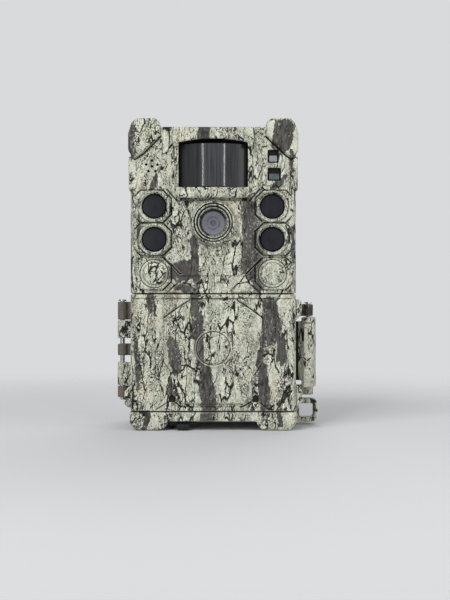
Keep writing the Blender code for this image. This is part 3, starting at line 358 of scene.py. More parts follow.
def metal(name, colour, rough=0.3, stretch=(1, 1, 8), scratch=0.4):
    t = Tree(name)
    brushed = t.noise(t.vec("MULTIPLY", t.p, tuple(3.0 / s for s in stretch)), 1.0, 4.0, 0.6)
    cloud = t.noise(t.p, 0.3, 3.0, 0.6)
    base = t.mix(t.step(cloud, 0.35, 0.7), colour, tuple(c * 0.72 for c in colour))
    r = t.step(brushed, 0.25, 0.75, rough - 0.08, rough + 0.16)
    return t.end(base, r, t.bump(brushed, scratch, 0.00004), metallic=1.0)


def smoked(name, colour, rough=0.08, coat=1.0, spec=0.5):
    """Near-black infra-red plastic: polished, with dust and faint smears."""
    t = Tree(name)
    smear = t.noise(t.vec("MULTIPLY", t.p, (0.35, 0.35, 0.18)), 1.0, 4.0, 0.6)
    dust = t.step(t.noise(t.p, 3.2, 1.0, 0.5), 0.70, 0.76)
    base = t.mix(t.m("MULTIPLY", dust, 0.10), t.mix(t.step(smear, 0.35, 0.65), colour, tuple(c * 1.25 for c in colour)), (0.3, 0.3, 0.3))
    r = t.step(smear, 0.3, 0.7, rough, rough + 0.14)
    return t.end(base, r, t.bump(smear, 0.03, 0.0001), Coat_Weight=coat, Coat_Roughness=0.06, Specular_IOR_Level=spec)


def fresnel_plastic(name):
    """The motion window: dark satin film moulded with fine upright ribs and a few coarser zones."""
    t = Tree(name)
    x, y, z = t.split(t.p)
    streak = t.noise(t.vec("MULTIPLY", t.p, (1.6, 1.6, 0.045)), 1.0, 4.0, 0.6)
    ribs = t.m("SINE", t.m("MULTIPLY", x, 9.0))
    # painted shade and light: the swept-back sides darker, the middle flat lighter
    mid = t.step(t.m("ABSOLUTE", x), 6.2, 5.2)
    side = t.mix(t.step(streak, 0.35, 0.65), lin(12, 12, 13), lin(30, 31, 33))
    centre = t.mix(t.step(streak, 0.35, 0.65), lin(34, 35, 38), lin(54, 55, 60))
    base = t.mix(mid, side, centre)
    h = t.m("ADD", t.m("MULTIPLY", ribs, 0.25), streak)
    # painted highlight: thin pale lines down the joints between the middle flat and the sides
    joint_highlight = t.m("MULTIPLY", t.step(t.m("ABSOLUTE", t.m("SUBTRACT", t.m("ABSOLUTE", x), 5.5)), 0.55, 0.1), t.step(streak, 0.46, 0.6))
    base = t.mix(t.m("MULTIPLY", joint_highlight, 0.5), base, lin(150, 152, 158))
    return t.end(base, t.step(streak, 0.3, 0.7, 0.26, 0.4), t.bump(h, 0.16, 0.00012), Coat_Weight=0.6, Coat_Roughness=0.13, Specular_IOR_Level=0.28)


def coated_lens(name):
    """Cover glass and lens seen together: grey-violet with concentric rings."""
    t = Tree(name)
    lo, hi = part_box("lens_window")
    cx, cz = (lo.x + hi.x) / 2 / MM, (lo.z + hi.z) / 2 / MM
    x, y, z = t.split(t.p)
    r = t.m("SQRT", t.m("ADD", t.m("POWER", t.m("SUBTRACT", x, cx), 2.0), t.m("POWER", t.m("SUBTRACT", z, cz), 2.0)))
    haze = t.noise(t.p, 0.5, 3.0, 0.55)
    base = t.ramp(t.m("DIVIDE", r, 7.0), [
        (0.0, lin(104, 104, 110)), (0.10, lin(70, 70, 78)), (0.19, lin(74, 74, 82)), (0.23, lin(112, 113, 121)), (0.34, lin(108, 109, 118)),
        (0.42, lin(98, 99, 108)), (0.455, lin(74, 76, 85)), (0.50, lin(112, 114, 121)), (0.62, lin(118, 120, 126)), (0.80, lin(132, 134, 139)),
        (0.88, lin(108, 110, 113)), (0.95, lin(56, 56, 58))])
    base = t.mix(t.step(haze, 0.35, 0.7, 0.0, 0.2), base, lin(134, 136, 142))
    return t.end(base, t.step(haze, 0.3, 0.7, 0.10, 0.2), t.bump(haze, 0.04, 0.0001), Coat_Weight=1.0, Coat_Roughness=0.03, Coat_Tint=(0.95, 0.95, 1.0))


def circuit(name, mask=(0.012, 0.10, 0.045)):
    t = Tree(name)
    cell = t.voronoi(t.vec("MULTIPLY", t.p, (0.35, 0.35, 0.35)), 1.0, "F1")
    tracks = t.step(t.m("ABSOLUTE", t.m("SUBTRACT", t.m("FRACT", t.m("MULTIPLY", cell, 9.0)), 0.5)), 0.06, 0.02)
    pads = t.step(t.voronoi(t.p, 0.55, "F1"), 0.2, 0.17)
    base = t.mix(t.m("MULTIPLY", tracks, 0.5), mask, tuple(c * 2.2 for c in mask))
    base = t.mix(pads, base, (0.62, 0.56, 0.36))
    return t.end(base, t.m("SUBTRACT", 0.45, t.m("MULTIPLY", pads, 0.15)), t.bump(t.m("ADD", tracks, pads), 0.3, 0.00005))


def cell_sleeve(name):
    """A plain printed sleeve: a dark body with one copper-coloured end."""
    t = Tree(name)
    x, y, z = t.split(t.p)
    scuff = t.noise(t.p, 0.8, 4.0, 0.65)
    band = t.step(z, -32.2, -31.8)
    base = t.mix(band, lin(28, 30, 34), lin(150, 96, 58))
    base = t.mix(t.step(scuff, 0.6, 0.72, 0.0, 0.25), base, (0.5, 0.5, 0.5))
    return t.end(base, t.step(scuff, 0.3, 0.7, 0.25, 0.42), t.bump(scuff, 0.06, 0.0001), metallic=t.m("MULTIPLY", band, 0.5))


LENS_Z = (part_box("lens_window")[0].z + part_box("lens_window")[1].z) / 2 / MM
# painted shadow rings round the foot of the lens ring; the motion window's opening and the two small window recesses
# are painted dark as shade
CAMO = bark_camo("bark_camo", rings=((9.5, 0.3), (10.6, 0.16)), 
                  bare=[((-17.2, 17.2), (-62.7, -50.0), (40.25, 64.4)), ((26.8, 32.5), (-59.7, -55.0), (52.4, 59.1)), ((26.8, 33.6), (-59.7, -55.0), (43.5, 50.2))])
CAMO_REAR = bark_camo("bark_camo_rear", plain=-43.4, bare=[((-40.6, 40.6), (-34.0, -10.0), (-71.2, 68.5))])
# the inside of the door is the bare dark plastic; its two small pockets at the panel's lower corners are painted dark
# as shade
CAMO_DOOR = bark_camo("bark_camo_door", bare=[((-39.3, 39.3), (-57.8, -20.0), (-72.0, -14.3)), ((-22.1, -18.5), (-59.6, -57.0), (-66.0, -61.8)),
                                                ((19.1, 22.7), (-59.6, -57.0), (-66.0, -61.8))])
CAMO_PALE = bark_camo("bark_camo_fittings", seed=1.0, light=0.4)
# the strip of the lever beside the door is painted dark as the shade of the gap behind it
CAMO_LEVER = bark_camo("bark_camo_lever", seed=3.0, light=0.9, bare=[((40.0, 43.55), (-60.0, -20.0), (-70.0, -20.0))])
# painted shade: the lens well darkened with depth, and painted shadow rings at the foot of each terrace
CAMO_RING = bark_camo("bark_camo_ring", well_shade=0.45, rings=((7.8, 0.36), (6.35, 0.42), (9.15, 0.2)))
BLACK = moulded("black_moulded", lin(30, 30, 31), 0.5, 1.8, 0.3)
INNER = moulded("inner_black", lin(24, 24, 25), 0.55, 1.4, 0.3)
RUBBER = moulded("black_rubber", lin(22, 22, 23), 0.72, 2.4, 0.3, 0.35, 0.35)
KEY_RUBBER = moulded("key_rubber", lin(92, 94, 96), 0.62, 2.2, 0.12, 0.25)
KEY_MARK = moulded("key_mark", lin(214, 214, 208), 0.55, 2.0, 0.08)
SEAL = moulded("seal_silicone", lin(142, 142, 138), 0.6, 1.0, 0.15)
PANEL = moulded("panel_plastic", lin(38, 39, 41), 0.45, 2.0, 0.25, 0.3)
BRACKET = moulded("bracket_plastic", lin(44, 42, 38), 0.55, 1.2, 0.25, 0.4)
CARD = moulded("card_shell", lin(34, 52, 92), 0.4, 1.5, 0.15)
SWITCH = moulded("switch_knob", lin(178, 178, 172), 0.45, 2.0, 0.1)
PALE = moulded("pale_sensor", lin(138, 138, 144), 0.3, 0.8, 0.2, 0.05)
TEAL = moulded("teal_lamp", lin(78, 92, 93), 0.25, 0.8, 0.3, 0.05)
# near-black stand-in for the shade deep in holes and recesses
HOLE_SHADE = moulded("painted_hole_shade", lin(10, 10, 10), 0.9, 1.0, 0.2)
IR_GLASS = smoked("infra_red_window", lin(27, 29, 34), 0.3, 0.06, 0.14)
SCREEN = smoked("screen_glass", lin(20, 22, 25), 0.05, 1.0)
PIR = fresnel_plastic("fresnel_window")
LENS = coated_lens("coated_glass")
STEEL = metal("plated_steel", (0.56, 0.56, 0.55), 0.3)
BRASS = metal("turned_brass", (0.66, 0.46, 0.18), 0.3, (1, 1, 1))
CIRCUIT = circuit("solder_mask")
CELL = cell_sleeve("cell_sleeve")


# ================================================================ mesh helpers, in millimetres
def keep(bm, pick, width, segments=3):
    edges = []
    for e in bm.edges:
        a, b = e.verts[0].co, e.verts[1].co
        if e.calc_face_angle(0.0) > 0.15 and (pick is None or pick((a + b) / 2, (b - a))):
            edges.append(e)
    bmesh.ops.bevel(bm, geom=edges, offset=width, offset_type="OFFSET", segments=segments, profile=0.5, affect="EDGES", clamp_overlap=True)


def block(x, y, z, bevel=0.0, segments=3, pick=None):
    bm = bmesh.new()
    bmesh.ops.create_cube(bm, size=1.0)
    bmesh.ops.scale(bm, vec=(x[1] - x[0], y[1] - y[0], z[1] - z[0]), verts=bm.verts)
    bmesh.ops.translate(bm, vec=((x[0] + x[1]) / 2, (y[0] + y[1]) / 2, (z[0] + z[1]) / 2), verts=bm.verts)
    if bevel:
        keep(bm, pick, bevel, segments)
    return bm


TURN = {"X": Matrix.Rotation(math.pi / 2, 4, "Y"), "Y": Matrix.Rotation(math.pi / 2, 4, "X"), "Z": Matrix.Identity(4)}


def rod(at, axis, r, length, segments=64, r2=None):
    bm = bmesh.new()
    bmesh.ops.create_cone(bm, cap_ends=True, segments=segments, radius1=r, radius2=r if r2 is None else r2, depth=length)
    bmesh.ops.transform(bm, matrix=Matrix.Translation(Vector(at)) @ TURN[axis], verts=bm.verts)
    return bm


PLANE = {"Y": Matrix(((1, 0, 0, 0), (0, 0, -1, 0), (0, 1, 0, 0), (0, 0, 0, 1))), "Z": Matrix.Identity(4),
         "X": Matrix(((0, 0, 1, 0), (1, 0, 0, 0), (0, 1, 0, 0), (0, 0, 0, 1)))}


def slab(points, axis, lo, hi, bevel=0.0, segments=3, pick=None):
    """A closed outline given a thickness, as one polygon pushed along the axis."""
    area = sum(a[0] * b[1] - b[0] * a[1] for a, b in zip(points, points[1:] + points[:1]))
    if area < 0:
        points = points[::-1]
    bm = bmesh.new()
    face = bm.faces.new([bm.verts.new((u, v, -(hi - lo) / 2)) for u, v in points])
    out = bmesh.ops.extrude_face_region(bm, geom=[face])
    bmesh.ops.translate(bm, vec=(0, 0, hi - lo), verts=[g for g in out["geom"] if isinstance(g, bmesh.types.BMVert)])
    bmesh.ops.recalc_face_normals(bm, faces=bm.faces)
    mid = Vector((0, 0, 0))
    mid["XYZ".index(axis)] = (lo + hi) / 2
    bmesh.ops.transform(bm, matrix=Matrix.Translation(mid) @ PLANE[axis], verts=bm.verts)
    if bevel:
        keep(bm, pick, bevel, segments)
    return bm


def lathe(profile, at, axis, steps=96, closed=False):
    """profile: (radius, height) down the outer side; for Y the height runs towards -Y."""
    bm = bmesh.new()
    rings = []
    for r, h in profile:
        if r < 1e-6:
            rings.append([bm.verts.new((0, 0, h))])
        else:
            rings.append([bm.verts.new((r * math.cos(math.tau * i / steps), r * math.sin(math.tau * i / steps), h)) for i in range(steps)])
    pairs = list(zip(rings, rings[1:])) + ([(rings[-1], rings[0])] if closed else [])
    for a, b in pairs:
        for i in range(steps):
            j = (i + 1) % steps
            quad = []
            for v in (a[i % len(a)], a[j % len(a)], b[j % len(b)], b[i % len(b)]):
                if v not in quad:
                    quad.append(v)
            if len(quad) > 2:
                bm.faces.new(quad)
    bmesh.ops.recalc_face_normals(bm, faces=bm.faces)
    bmesh.ops.transform(bm, matrix=Matrix.Translation(Vector(at)) @ TURN[axis], verts=bm.verts)
    return bm


def arc(cx, cy, r, a0, a1, n):
    return [(cx + r * math.cos(math.radians(a0 + (a1 - a0) * i / n)), cy + r * math.sin(math.radians(a0 + (a1 - a0) * i / n))) for i in range(n + 1)]


def rounded(u, v, r, n=6):
    return (arc(u[1] - r, v[1] - r, r, 0, 90, n) + arc(u[0] + r, v[1] - r, r, 90, 180, n)
            + arc(u[0] + r, v[0] + r, r, 180, 270, n) + arc(u[1] - r, v[0] + r, r, 270, 360, n))


def octagon(cx, cy, hw, hh, c):
    return [(cx + hw, cy - hh + c), (cx + hw, cy + hh - c), (cx + hw - c, cy + hh), (cx - hw + c, cy + hh),
            (cx - hw, cy + hh - c), (cx - hw, cy - hh + c), (cx - hw + c, cy - hh), (cx + hw - c, cy - hh)]


def groove(points, width, y_top, depth):
    """Cutters for a V-free channel along a line on the front face (x, z points)."""
    out = []
    for (x0, z0), (x1, z1) in zip(points, points[1:]):
        dx, dz = x1 - x0, z1 - z0
        n = math.hypot(dx, dz)
        ux, uz = dx / n * width * 0.5, dz / n * width * 0.5
        quad = [(x0 - ux - uz, z0 - uz + ux), (x0 - ux + uz, z0 - uz - ux), (x1 + ux + uz, z1 + uz - ux), (x1 + ux - uz, z1 + uz + ux)]
        out.append(slab(quad, "Y", y_top - 1.5, y_top + depth))
    return out


def front(y, tol=0.25):
    return lambda m, d: abs(m.y - y) < tol and abs(d.y) < 0.1 * max(d.length, 1e-9) + 1e-4


def upright(where=lambda m: True):
    return lambda m, d: abs(d.z) > 0.9 * d.length and where(m)


def stash(bm, name, coll):
    me = bpy.data.meshes.new(name)
    bm.to_mesh(me)
    bm.free()
    ob = bpy.data.objects.new(name, me)
    coll.objects.link(ob)
    return ob


def moulding(name, adds, cuts, voxel, body, mats, stands_for, ratio=1.0, smooth=3, angle=None):
    """Joins and cuts solids, remeshes the result finely and softens it, so that every edge has a small moulded radius."""
    tmp = bpy.data.collections.new(name + "_tmp")
    minus = bpy.data.collections.new(name + "_minus")
    plus = bpy.data.collections.new(name + "_plus")
    for c in (tmp, minus, plus):
        scene.collection.children.link(c)
    base = stash(adds[0], name + "_base", tmp)
    for i, a in enumerate(adds[1:]):
        stash(a, f"{name}_add{i}", plus)
    for i, c in enumerate(cuts):
        stash(c, f"{name}_cut{i}", minus)
    if len(adds) > 1:
        u = base.modifiers.new("join", "BOOLEAN")
        u.operation, u.solver, u.operand_type, u.collection = "UNION", "EXACT", "COLLECTION", plus
        u.use_self = True
    if cuts:
        d = base.modifiers.new("cut", "BOOLEAN")
        d.operation, d.solver, d.operand_type, d.collection = "DIFFERENCE", "EXACT", "COLLECTION", minus
        d.use_self = True
    if voxel:
        r = base.modifiers.new("remesh", "REMESH")
        r.mode, r.voxel_size, r.adaptivity = "VOXEL", voxel, 0.0
        s = base.modifiers.new("soften", "SMOOTH")
        s.factor, s.iterations = 0.5, smooth
    if ratio < 1.0:
        q = base.modifiers.new("thin", "DECIMATE")
        q.ratio = ratio
    bpy.context.view_layer.update()
    me = bpy.data.meshes.new_from_object(base.evaluated_get(bpy.context.evaluated_depsgraph_get()))
    for c in (tmp, minus, plus):
        for o in list(c.objects):
            old = o.data
            bpy.data.objects.remove(o)
            bpy.data.meshes.remove(old)
        bpy.data.collections.remove(c)
    return finish_piece(name, me, body, mats, stands_for, angle)


def finish_piece(name, me, body, mats, stands_for, angle=None):
    me.name = name
    me.transform(Matrix.Scale(MM, 4))
    me.materials.clear()
    for m in mats:
        me.materials.append(m)
    me.shade_smooth()
    if angle:
        me.set_sharp_from_angle(angle=math.radians(angle))
    ob = bpy.data.objects.new(name, me)
    scene.collection.objects.link(ob)
    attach(ob, body)
    if stands_for:
        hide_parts(*stands_for)
    return ob


def piece(name, bms, body, mat, stands_for, angle=35, subsurf=0):
    """One piece from one or more bmeshes, with sharp edges kept above the angle."""
    bm = bmesh.new()
    for b in bms:
        tmp = bpy.data.meshes.new("tmp")
        b.to_mesh(tmp)
        b.free()
        bm.from_mesh(tmp)
        bpy.data.meshes.remove(tmp)
    me = bpy.data.meshes.new(name)
    bm.to_mesh(me)
    bm.free()
    return finish_piece(name, me, body, [mat] if not isinstance(mat, (list, tuple)) else mat, stands_for, angle)


def centre(node):
    lo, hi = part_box(node)
    return (lo + hi) / 2 / MM, (hi - lo) / MM


# ================================================================ dimensions taken from the frame
f_lo, f_hi = (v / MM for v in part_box("front_housing"))
r_lo, r_hi = (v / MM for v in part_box("rear_housing"))
d_lo, d_hi = (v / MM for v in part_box("battery_door"))
HALF_W = 41.2
Y_FACE = -60.0
Z_HEAD = (f_lo.z, 70.5)
Z_DOOR = (d_lo.z, d_hi.z)
LENS_C = centre("lens_window")[0]
IR_C = {n: centre(n)[0] for n in ("ir_window_upper_left", "ir_window_lower_left", "ir_window_upper_right", "ir_window_lower_right")}
CAP_C = {n: centre(n)[0] for n in ("blank_cap_left", "blank_cap_right")}
HINGE_C = centre("hinge_pin")[0]
LATCH_C = centre("latch_pin")[0]
VOX = 0.32

# ================================================================ optics head
head_add = [block((-HALF_W, HALF_W), (Y_FACE, -30.3), Z_HEAD, 4.0, 6, upright(lambda m: m.y < -50))]
ear = [(-38.2, 74.6), (-28.6, 74.6), (-26.4, 72.6), (-26.2, 66.0), (-34.7, 57.7), (-38.9, 54.9), (-42.1, 58.7), (-42.1, 67.0), (-40.4, 72.4)]
for k in (1, -1):
    head_add.append(slab([(k * u, v) for u, v in ear], "Y", -62.4, -30.3, 1.5, 4, front(-62.4)))
    # the flank panel under each ear
    flank = [(k * u, v) for u, v in [(-41.9, 56.0), (-38.6, 53.6), (-37.4, 46.0), (-38.4, 40.2), (-41.9, 39.0)]]
    head_add.append(slab(flank, "Y", -60.5, -40.0, 0.5, 2, front(-60.5)))
side, top = 62.3, 64.2
curve = [(x, top - (top - side) * (x / 17.0) ** 2) for x in np.linspace(-17.0, 17.0, 17)]
brow = [(-19.6, 69.9), (-20.2, 64.0), (-19.4, 60.4), (-17.0, 60.4)] + curve + [(17.0, 60.4), (19.4, 60.4), (20.2, 64.0), (19.6, 69.9)]
head_add += [
    slab(brow, "Y", -63.4, -58.5, 0.8, 3, front(-63.4)),
    slab([(-18.2, 40.4), (-18.8, 37.2), (-17.2, 35.0), (17.2, 35.0), (18.8, 37.2), (18.2, 40.4)], "Y", -63.8, -58.5, 1.1, 4,
         lambda m, d: m.y < -63.4 and abs(d.y) < 0.1),
    block((-19.3, -17.0), (-61.4, -58.5), (39.8, 61.2), 0.6, 2, front(-61.4)),
    block((17.0, 19.3), (-61.4, -58.5), (39.8, 61.2), 0.6, 2, front(-61.4)),
    # raised field round the lens, with points that run in between the lamps
    slab([(-16.0, 33.6), (16.0, 33.6), (25.6, 24.4), (21.6, 18.6), (21.6, 12.6), (25.4, 5.6), (16.4, -3.2), (-16.4, -3.2), (-25.4, 5.6),
          (-21.6, 12.6), (-21.6, 18.6), (-25.6, 24.4)], "Y", -60.75, -58.5, 0.35, 2, front(-60.75)),
    slab([(24.2, 61.0), (24.2, 43.0), (26.0, 41.2), (35.6, 41.2), (35.6, 56.0), (30.6, 61.0)], "Y", -60.9, -58.5, 0.4, 2, front(-60.9)),
    rod((0, -61.2, LENS_C.z), "Y", 12.6, 4.4, 96, 10.6),
]
for c in IR_C.values():
    k = 1 if c.x > 0 else -1
    head_add.append(slab(octagon(k * 30.4, c.z, 9.4, 7.8, 4.1), "Y", -61.5, -58.5, 0.6, 3, front(-61.5)))
    head_add.append(rod((c.x, -61.2, c.z), "Y", 8.6, 2.6, 96, 7.7))
for c in CAP_C.values():
    k = 1 if c.x > 0 else -1
    head_add.append(slab(octagon(k * 30.4, c.z, 9.4, 7.8, 4.1), "Y", -61.5, -58.5, 0.6, 3, front(-61.5)))
for k in (-1, 1):
    pad = [(k * 9.6, Z_HEAD[0] + 0.5), (k * 12.4, -7.6), (k * 17.0, -6.8), (k * 22.2, Z_HEAD[0] + 0.5)]
    head_add.append(slab(pad, "Y", -61.0, -58.5, 0.4, 2, front(-61.0)))
head_cut = [
    slab([(-17.0, 40.4), (17.0, 40.4)] + curve[::-1], "Y", -68.0, -52.0),
    rod((0, -60.0, LENS_C.z), "Y", 9.5, 14.0, 96),
    block((26.9, 32.4), (-66, -57.0), (52.5, 59.0), 0.4, 2, lambda m, d: abs(d.y) > 1),
    block((26.9, 33.5), (-66, -57.0), (43.6, 50.1), 0.4, 2, lambda m, d: abs(d.y) > 1),
]
for c in IR_C.values():
    head_cut += [rod((c.x, -60, c.z), "Y", 6.25, 14.0, 96), rod((c.x, -62.2, c.z), "Y", 6.1, 1.9, 96, 7.5)]
for c in CAP_C.values():
    head_cut.append(rod((c.x, -62.5, c.z), "Y", 7.2, 4.3, 96))
mic = centre("microphone")[0]
mic_holes = []
head_cut.append(rod((mic.x, -60.0, mic.z), "Y", 4.0, 4.5, 64))
for i in range(6):
    a = math.radians(90 + 72 * i)
    mx, mz = (mic.x, mic.z) if i == 5 else (mic.x + 2.9 * math.cos(a), mic.z + 2.9 * math.sin(a))
    mic_holes.append(rod((mx, -60.0, mz), "Y", 0.68, 4.0, 20))
for k in (-1, 1):
    for z, hh in ((31.0, 8.1), (14.7, 8.1), (-2.3, 8.1)):      # engraved line round each lamp and cap
        o = octagon(k * 30.4, z, 9.7, hh, 4.2)
        head_cut += groove(o + o[:1], 0.8, -60.7, 1.4)
    head_cut += groove([(k * 17.9, 33.8), (k * 22.9, 39.4)], 0.9, -60.0, 0.9)
    # (lines between the lens field and the lamps)
    head_cut += groove([(k * 24.4, 5.8), (k * 16.2, -2.5)], 0.75, -60.7, 1.3)
    head_cut += groove([(k * 8.8, -10.6), (k * 12.0, -7.2), (k * 17.2, -6.3), (k * 23.2, -11.8)], 0.75, -60.2, 0.9)
    head_cut += groove([(k * 26.0, 65.6), (k * 34.4, 57.2), (k * 38.9, 54.2), (k * 42.6, 59.0)], 0.8, -60.0, 0.8)
    head_cut += groove([(k * 23.6, 61.5), (k * 23.6, 42.2)], 0.5, -60.0, 0.5)
head_cut += groove([(-8.0, -7.0), (8.0, -7.0)], 0.7, -60.0, 0.6)
head_cut.append(block((-16.6, 16.6), (-61.4, -59.2), (33.9, 35.2)))
head = moulding("head_shell", head_add, head_cut, VOX, "shell", [CAMO], ["front_housing"], ratio=0.34, smooth=2)
moulding("mic_grille", [rod((mic.x, -59.3, mic.z), "Y", 4.3, 1.44, 64)], mic_holes, None, "shell", [CAMO], [], angle=35)

# ================================================================ door
door_add = [block((-HALF_W, HALF_W), (Y_FACE, -30.3), Z_DOOR, 4.0, 6, upright(lambda m: m.y < -50))]
panel = [(-15.4, -66.6), (14.6, -66.6), (20.6, -61.8), (20.6, -52.0), (24.4, -46.0), (24.4, -24.0), (12.5, -15.6), (-12.5, -15.6),
         (-24.4, -24.0), (-24.4, -46.0), (-20.6, -52.0), (-20.6, -61.8)]
door_add += [
    slab([(40.0, -15.0), (43.0, -15.0), (44.3, -16.6), (44.3, -22.4), (41.4, -25.4), (40.0, -25.4)], "Y", -56.0, -34.0, 0.8, 3, front(-56.0)),
    slab([(40.0, -57.0), (41.4, -57.0), (44.4, -60.6), (44.4, -66.4), (42.8, -68.4), (40.0, -68.4)], "Y", -56.0, -34.0, 0.8, 3, front(-56.0)),
    slab([(-40.0, -57.6), (-41.4, -57.6), (-44.4, -61.2), (-44.4, -67.0), (-42.8, -69.0), (-40.0, -69.0)], "Y", -56.0, -34.0, 0.8, 3, front(-56.0)),
    slab(panel, "Y", -61.1, -58.5, 0.6, 3, front(-61.1)),
    rod((0, -61.25, -39.2), "Y", 9.9, 1.0, 96, 9.2),
]
door_cut = [
    block((-38.9, 38.9), (-50.6, -29.0), (-72.0, -14.8)),
    block((-38.7, 38.7), (-57.6, -50.0), (-68.0, -15.0)),
    rod((0, -62.4, -39.2), "Y", 8.5, 3.4, 96),
    slab([(-22.0, -65.9), (-18.6, -65.9), (-18.9, -63.4), (-20.4, -62.0), (-22.0, -63.4)], "Y", -62.0, -58.4),
    slab([(22.6, -65.9), (19.2, -65.9), (19.5, -63.4), (21.0, -62.0), (22.6, -63.4)], "Y", -62.0, -58.4),
]
door_cut += groove([(-41.5, -14.75), (41.5, -14.75)], 0.7, -60.0, 0.7)
for k in (-1, 1):
    door_cut += groove([(k * 24.4, -24.0), (k * 18.9, -19.9), (k * 11.8, -15.2)], 0.9, -60.9, 1.5)
    door_cut += groove([(k * 24.4, -24.0), (k * 24.4, -46.0), (k * 20.6, -52.0), (k * 20.6, -62.0)], 0.5, -60.0, 0.45)
    door_cut += groove([(k * 38.0, -16.5), (k * 38.0, -60.0), (k * 34.0, -64.6), (k * 27.6, -69.4)], 0.55, -60.0, 0.5)
door_cut += groove([(-18.4, -66.2), (-16.0, -68.3), (14.2, -68.3), (18.6, -65.8)], 0.8, -60.0, 0.8)
door_cut += groove([(-22.4, -66.0), (-28.4, -69.6)], 0.8, -60.0, 0.7) + groove([(23.0, -66.0), (27.6, -69.6)], 0.8, -60.0, 0.7)
door_cut += groove([(-17.7, -68.3), (-17.7, -71.0)], 0.6, -60.0, 0.6) + groove([(13.8, -68.3), (13.8, -71.0)], 0.6, -60.0, 0.6)
door_cut.append(rod((HINGE_C.x, HINGE_C.y, -41.5), "Z", 1.4, 60, 48))
rib_o, rib_i = rounded((-34.6, 34.6), (-66.7, -16.1), 2.4), rounded((-33.5, 33.5), (-65.6, -17.2), 1.6)


def frame_ring(outer, inner, axis, lo, hi):
    """A flat ring between two outlines with the same number of points."""
    bm = bmesh.new()
    rows = []
    for pts in (outer, inner):
        for h in (lo, hi):
            rows.append([bm.verts.new((u, v, h if axis != "Y" else -h)) for u, v in pts])
    oa, ob_, ia, ib = rows
    n = len(outer)
    for i in range(n):
        j = (i + 1) % n
        for a, b in ((oa, ob_), (ob_, ib), (ib, ia), (ia, oa)):
            bm.faces.new((a[i], a[j], b[j], b[i]))
    bmesh.ops.recalc_face_normals(bm, faces=bm.faces)
    bmesh.ops.transform(bm, matrix=PLANE[axis], verts=bm.verts)
    return bm


for lo, hi in ((-35.2, -26.0), (-59.8, -47.7)):
    door_add += [block((HINGE_C.x, -40.4), (-32.5, -30.4), (lo, hi)), rod((HINGE_C.x, HINGE_C.y, (lo + hi) / 2), "Z", 2.5, hi - lo, 48)]
door = moulding("door_shell", door_add, door_cut, VOX, "door", [CAMO_DOOR], ["battery_door"], ratio=0.34, smooth=2)
piece("door_rib", [frame_ring(rib_o, rib_i, "Y", -57.4, -50.7)], "door", INNER, [], 30)

# ================================================================ rear shell, chin and feet
rear_add = [block((-42.4, 42.4), (-30.0, -8.0), (-75.6, 70.5), 5.0, 6, upright(lambda m: m.y > -10))]
keep(rear_add[0], lambda m, d: abs(m.y + 8.0) < 0.3 and abs(d.y) < 0.2, 2.0, 4)
rear_add += [
    block((-41.4, 41.4), (-59.4, -29.0), (-75.6, -70.9), 3.4, 5, upright(lambda m: m.y < -50)),
    slab([(-41.5, -71.0), (-41.5, -76.4), (-38.2, -80.0), (-25.2, -80.0), (-22.7, -77.4), (-22.2, -72.0), (-24.0, -71.0)], "Y", -59.9, -45.3, 1.5, 4,
         front(-59.9)),
    slab([(-41.5, -71.0), (-41.5, -76.4), (-38.2, -80.0), (-25.6, -80.0), (-24.95, -79.0), (-24.95, -71.0)], "Y", -50.0, -12.0),
    slab([(41.5, -71.0), (41.5, -76.4), (38.2, -80.0), (24.2, -80.0), (21.8, -77.0), (21.0, -72.0), (23.0, -71.0)], "Y", -59.9, -12.0, 1.5, 4,
         front(-59.9)),
]
rear_cut = [
    block((-40.0, 40.0), (-31.5, -10.4), (-9.7, 68.1)),
    block((-40.2, 40.2), (-31.5, -10.4), (-70.9, -12.1)),
    block((-24.7, 21.5), (-44.9, -12.5), (-82, -68)),
    rod((HINGE_C.x, HINGE_C.y, -41.5), "Z", 1.4, 60, 48),
    rod((LATCH_C.x, LATCH_C.y, -41.5), "Z", 1.3, 60, 48),
    rod((-15.0, -51.6, -75.0), "Z", 4.6, 6.0, 48),
    rod((7.0, -51.6, -76.2), "Z", 4.6, 8.0, 48),
]
for k in (-1, 1):
    rear_cut += groove([(k * 30.0, -70.6), (k * 27.0, -73.2), (k * 25.6, -78.5)], 0.8, -59.9, 0.8)
    rear_cut += groove([(k * 41.8, -74.0), (k * 36.5, -74.0), (k * 33.5, -77.0), (k * 33.5, -80.4)], 0.6, -59.9, 0.6)
for lo, hi in ((-25.6, -16.2), (-44.3, -38.1), (-66.2, -60.2)):
    rear_add += [block((HINGE_C.x, -41.8), (-29.8, -27.5), (lo, hi)), rod((HINGE_C.x, HINGE_C.y, (lo + hi) / 2), "Z", 2.5, hi - lo, 48)]
for lo, hi in ((-23.8, -17.4), (-65.6, -60.2)):
    rear_add += [block((41.8, LATCH_C.x), (LATCH_C.y - 1.6, LATCH_C.y + 2.0), (lo, hi)), rod((LATCH_C.x, LATCH_C.y, (lo + hi) / 2), "Z", 2.6, hi - lo, 48)]
for n in range(1, 5):
    c = centre(f"case_screw_{n}")[0]
    rear_cut.append(rod((c.x, -7.6, c.z), "Y", 3.2, 3.2, 48))
for z in (-58.0, -50.0, 56.0, 62.0):   # shallow grip lines across the back, above and below the bracket
    if abs(z) > 55:
        rear_cut.append(block((-30, 30), (-8.3, -7.0), (z - 0.5, z + 0.5)))
rear = moulding("rear_shell", rear_add, rear_cut, VOX * 1.35, "shell", [CAMO_REAR], ["rear_housing"], ratio=0.4)

# ================================================================ small round fittings
def crown(r, h, edge=0.4, dome=0.15, n=4):
    """A disc with a soft rim and a slightly domed face: (radius, height) from the middle of the face down."""
    pts = [(r * 0.0, h + dome), (r * 0.35, h + dome * 0.9), (r * 0.7, h + dome * 0.5), (r - edge, h)]
    pts += [(r - edge + edge * math.sin(math.radians(a)), h - edge + edge * math.cos(math.radians(a))) for a in np.linspace(90 / n, 90, n)]
    return pts + [(r, 0.0), (0.0, 0.0)]


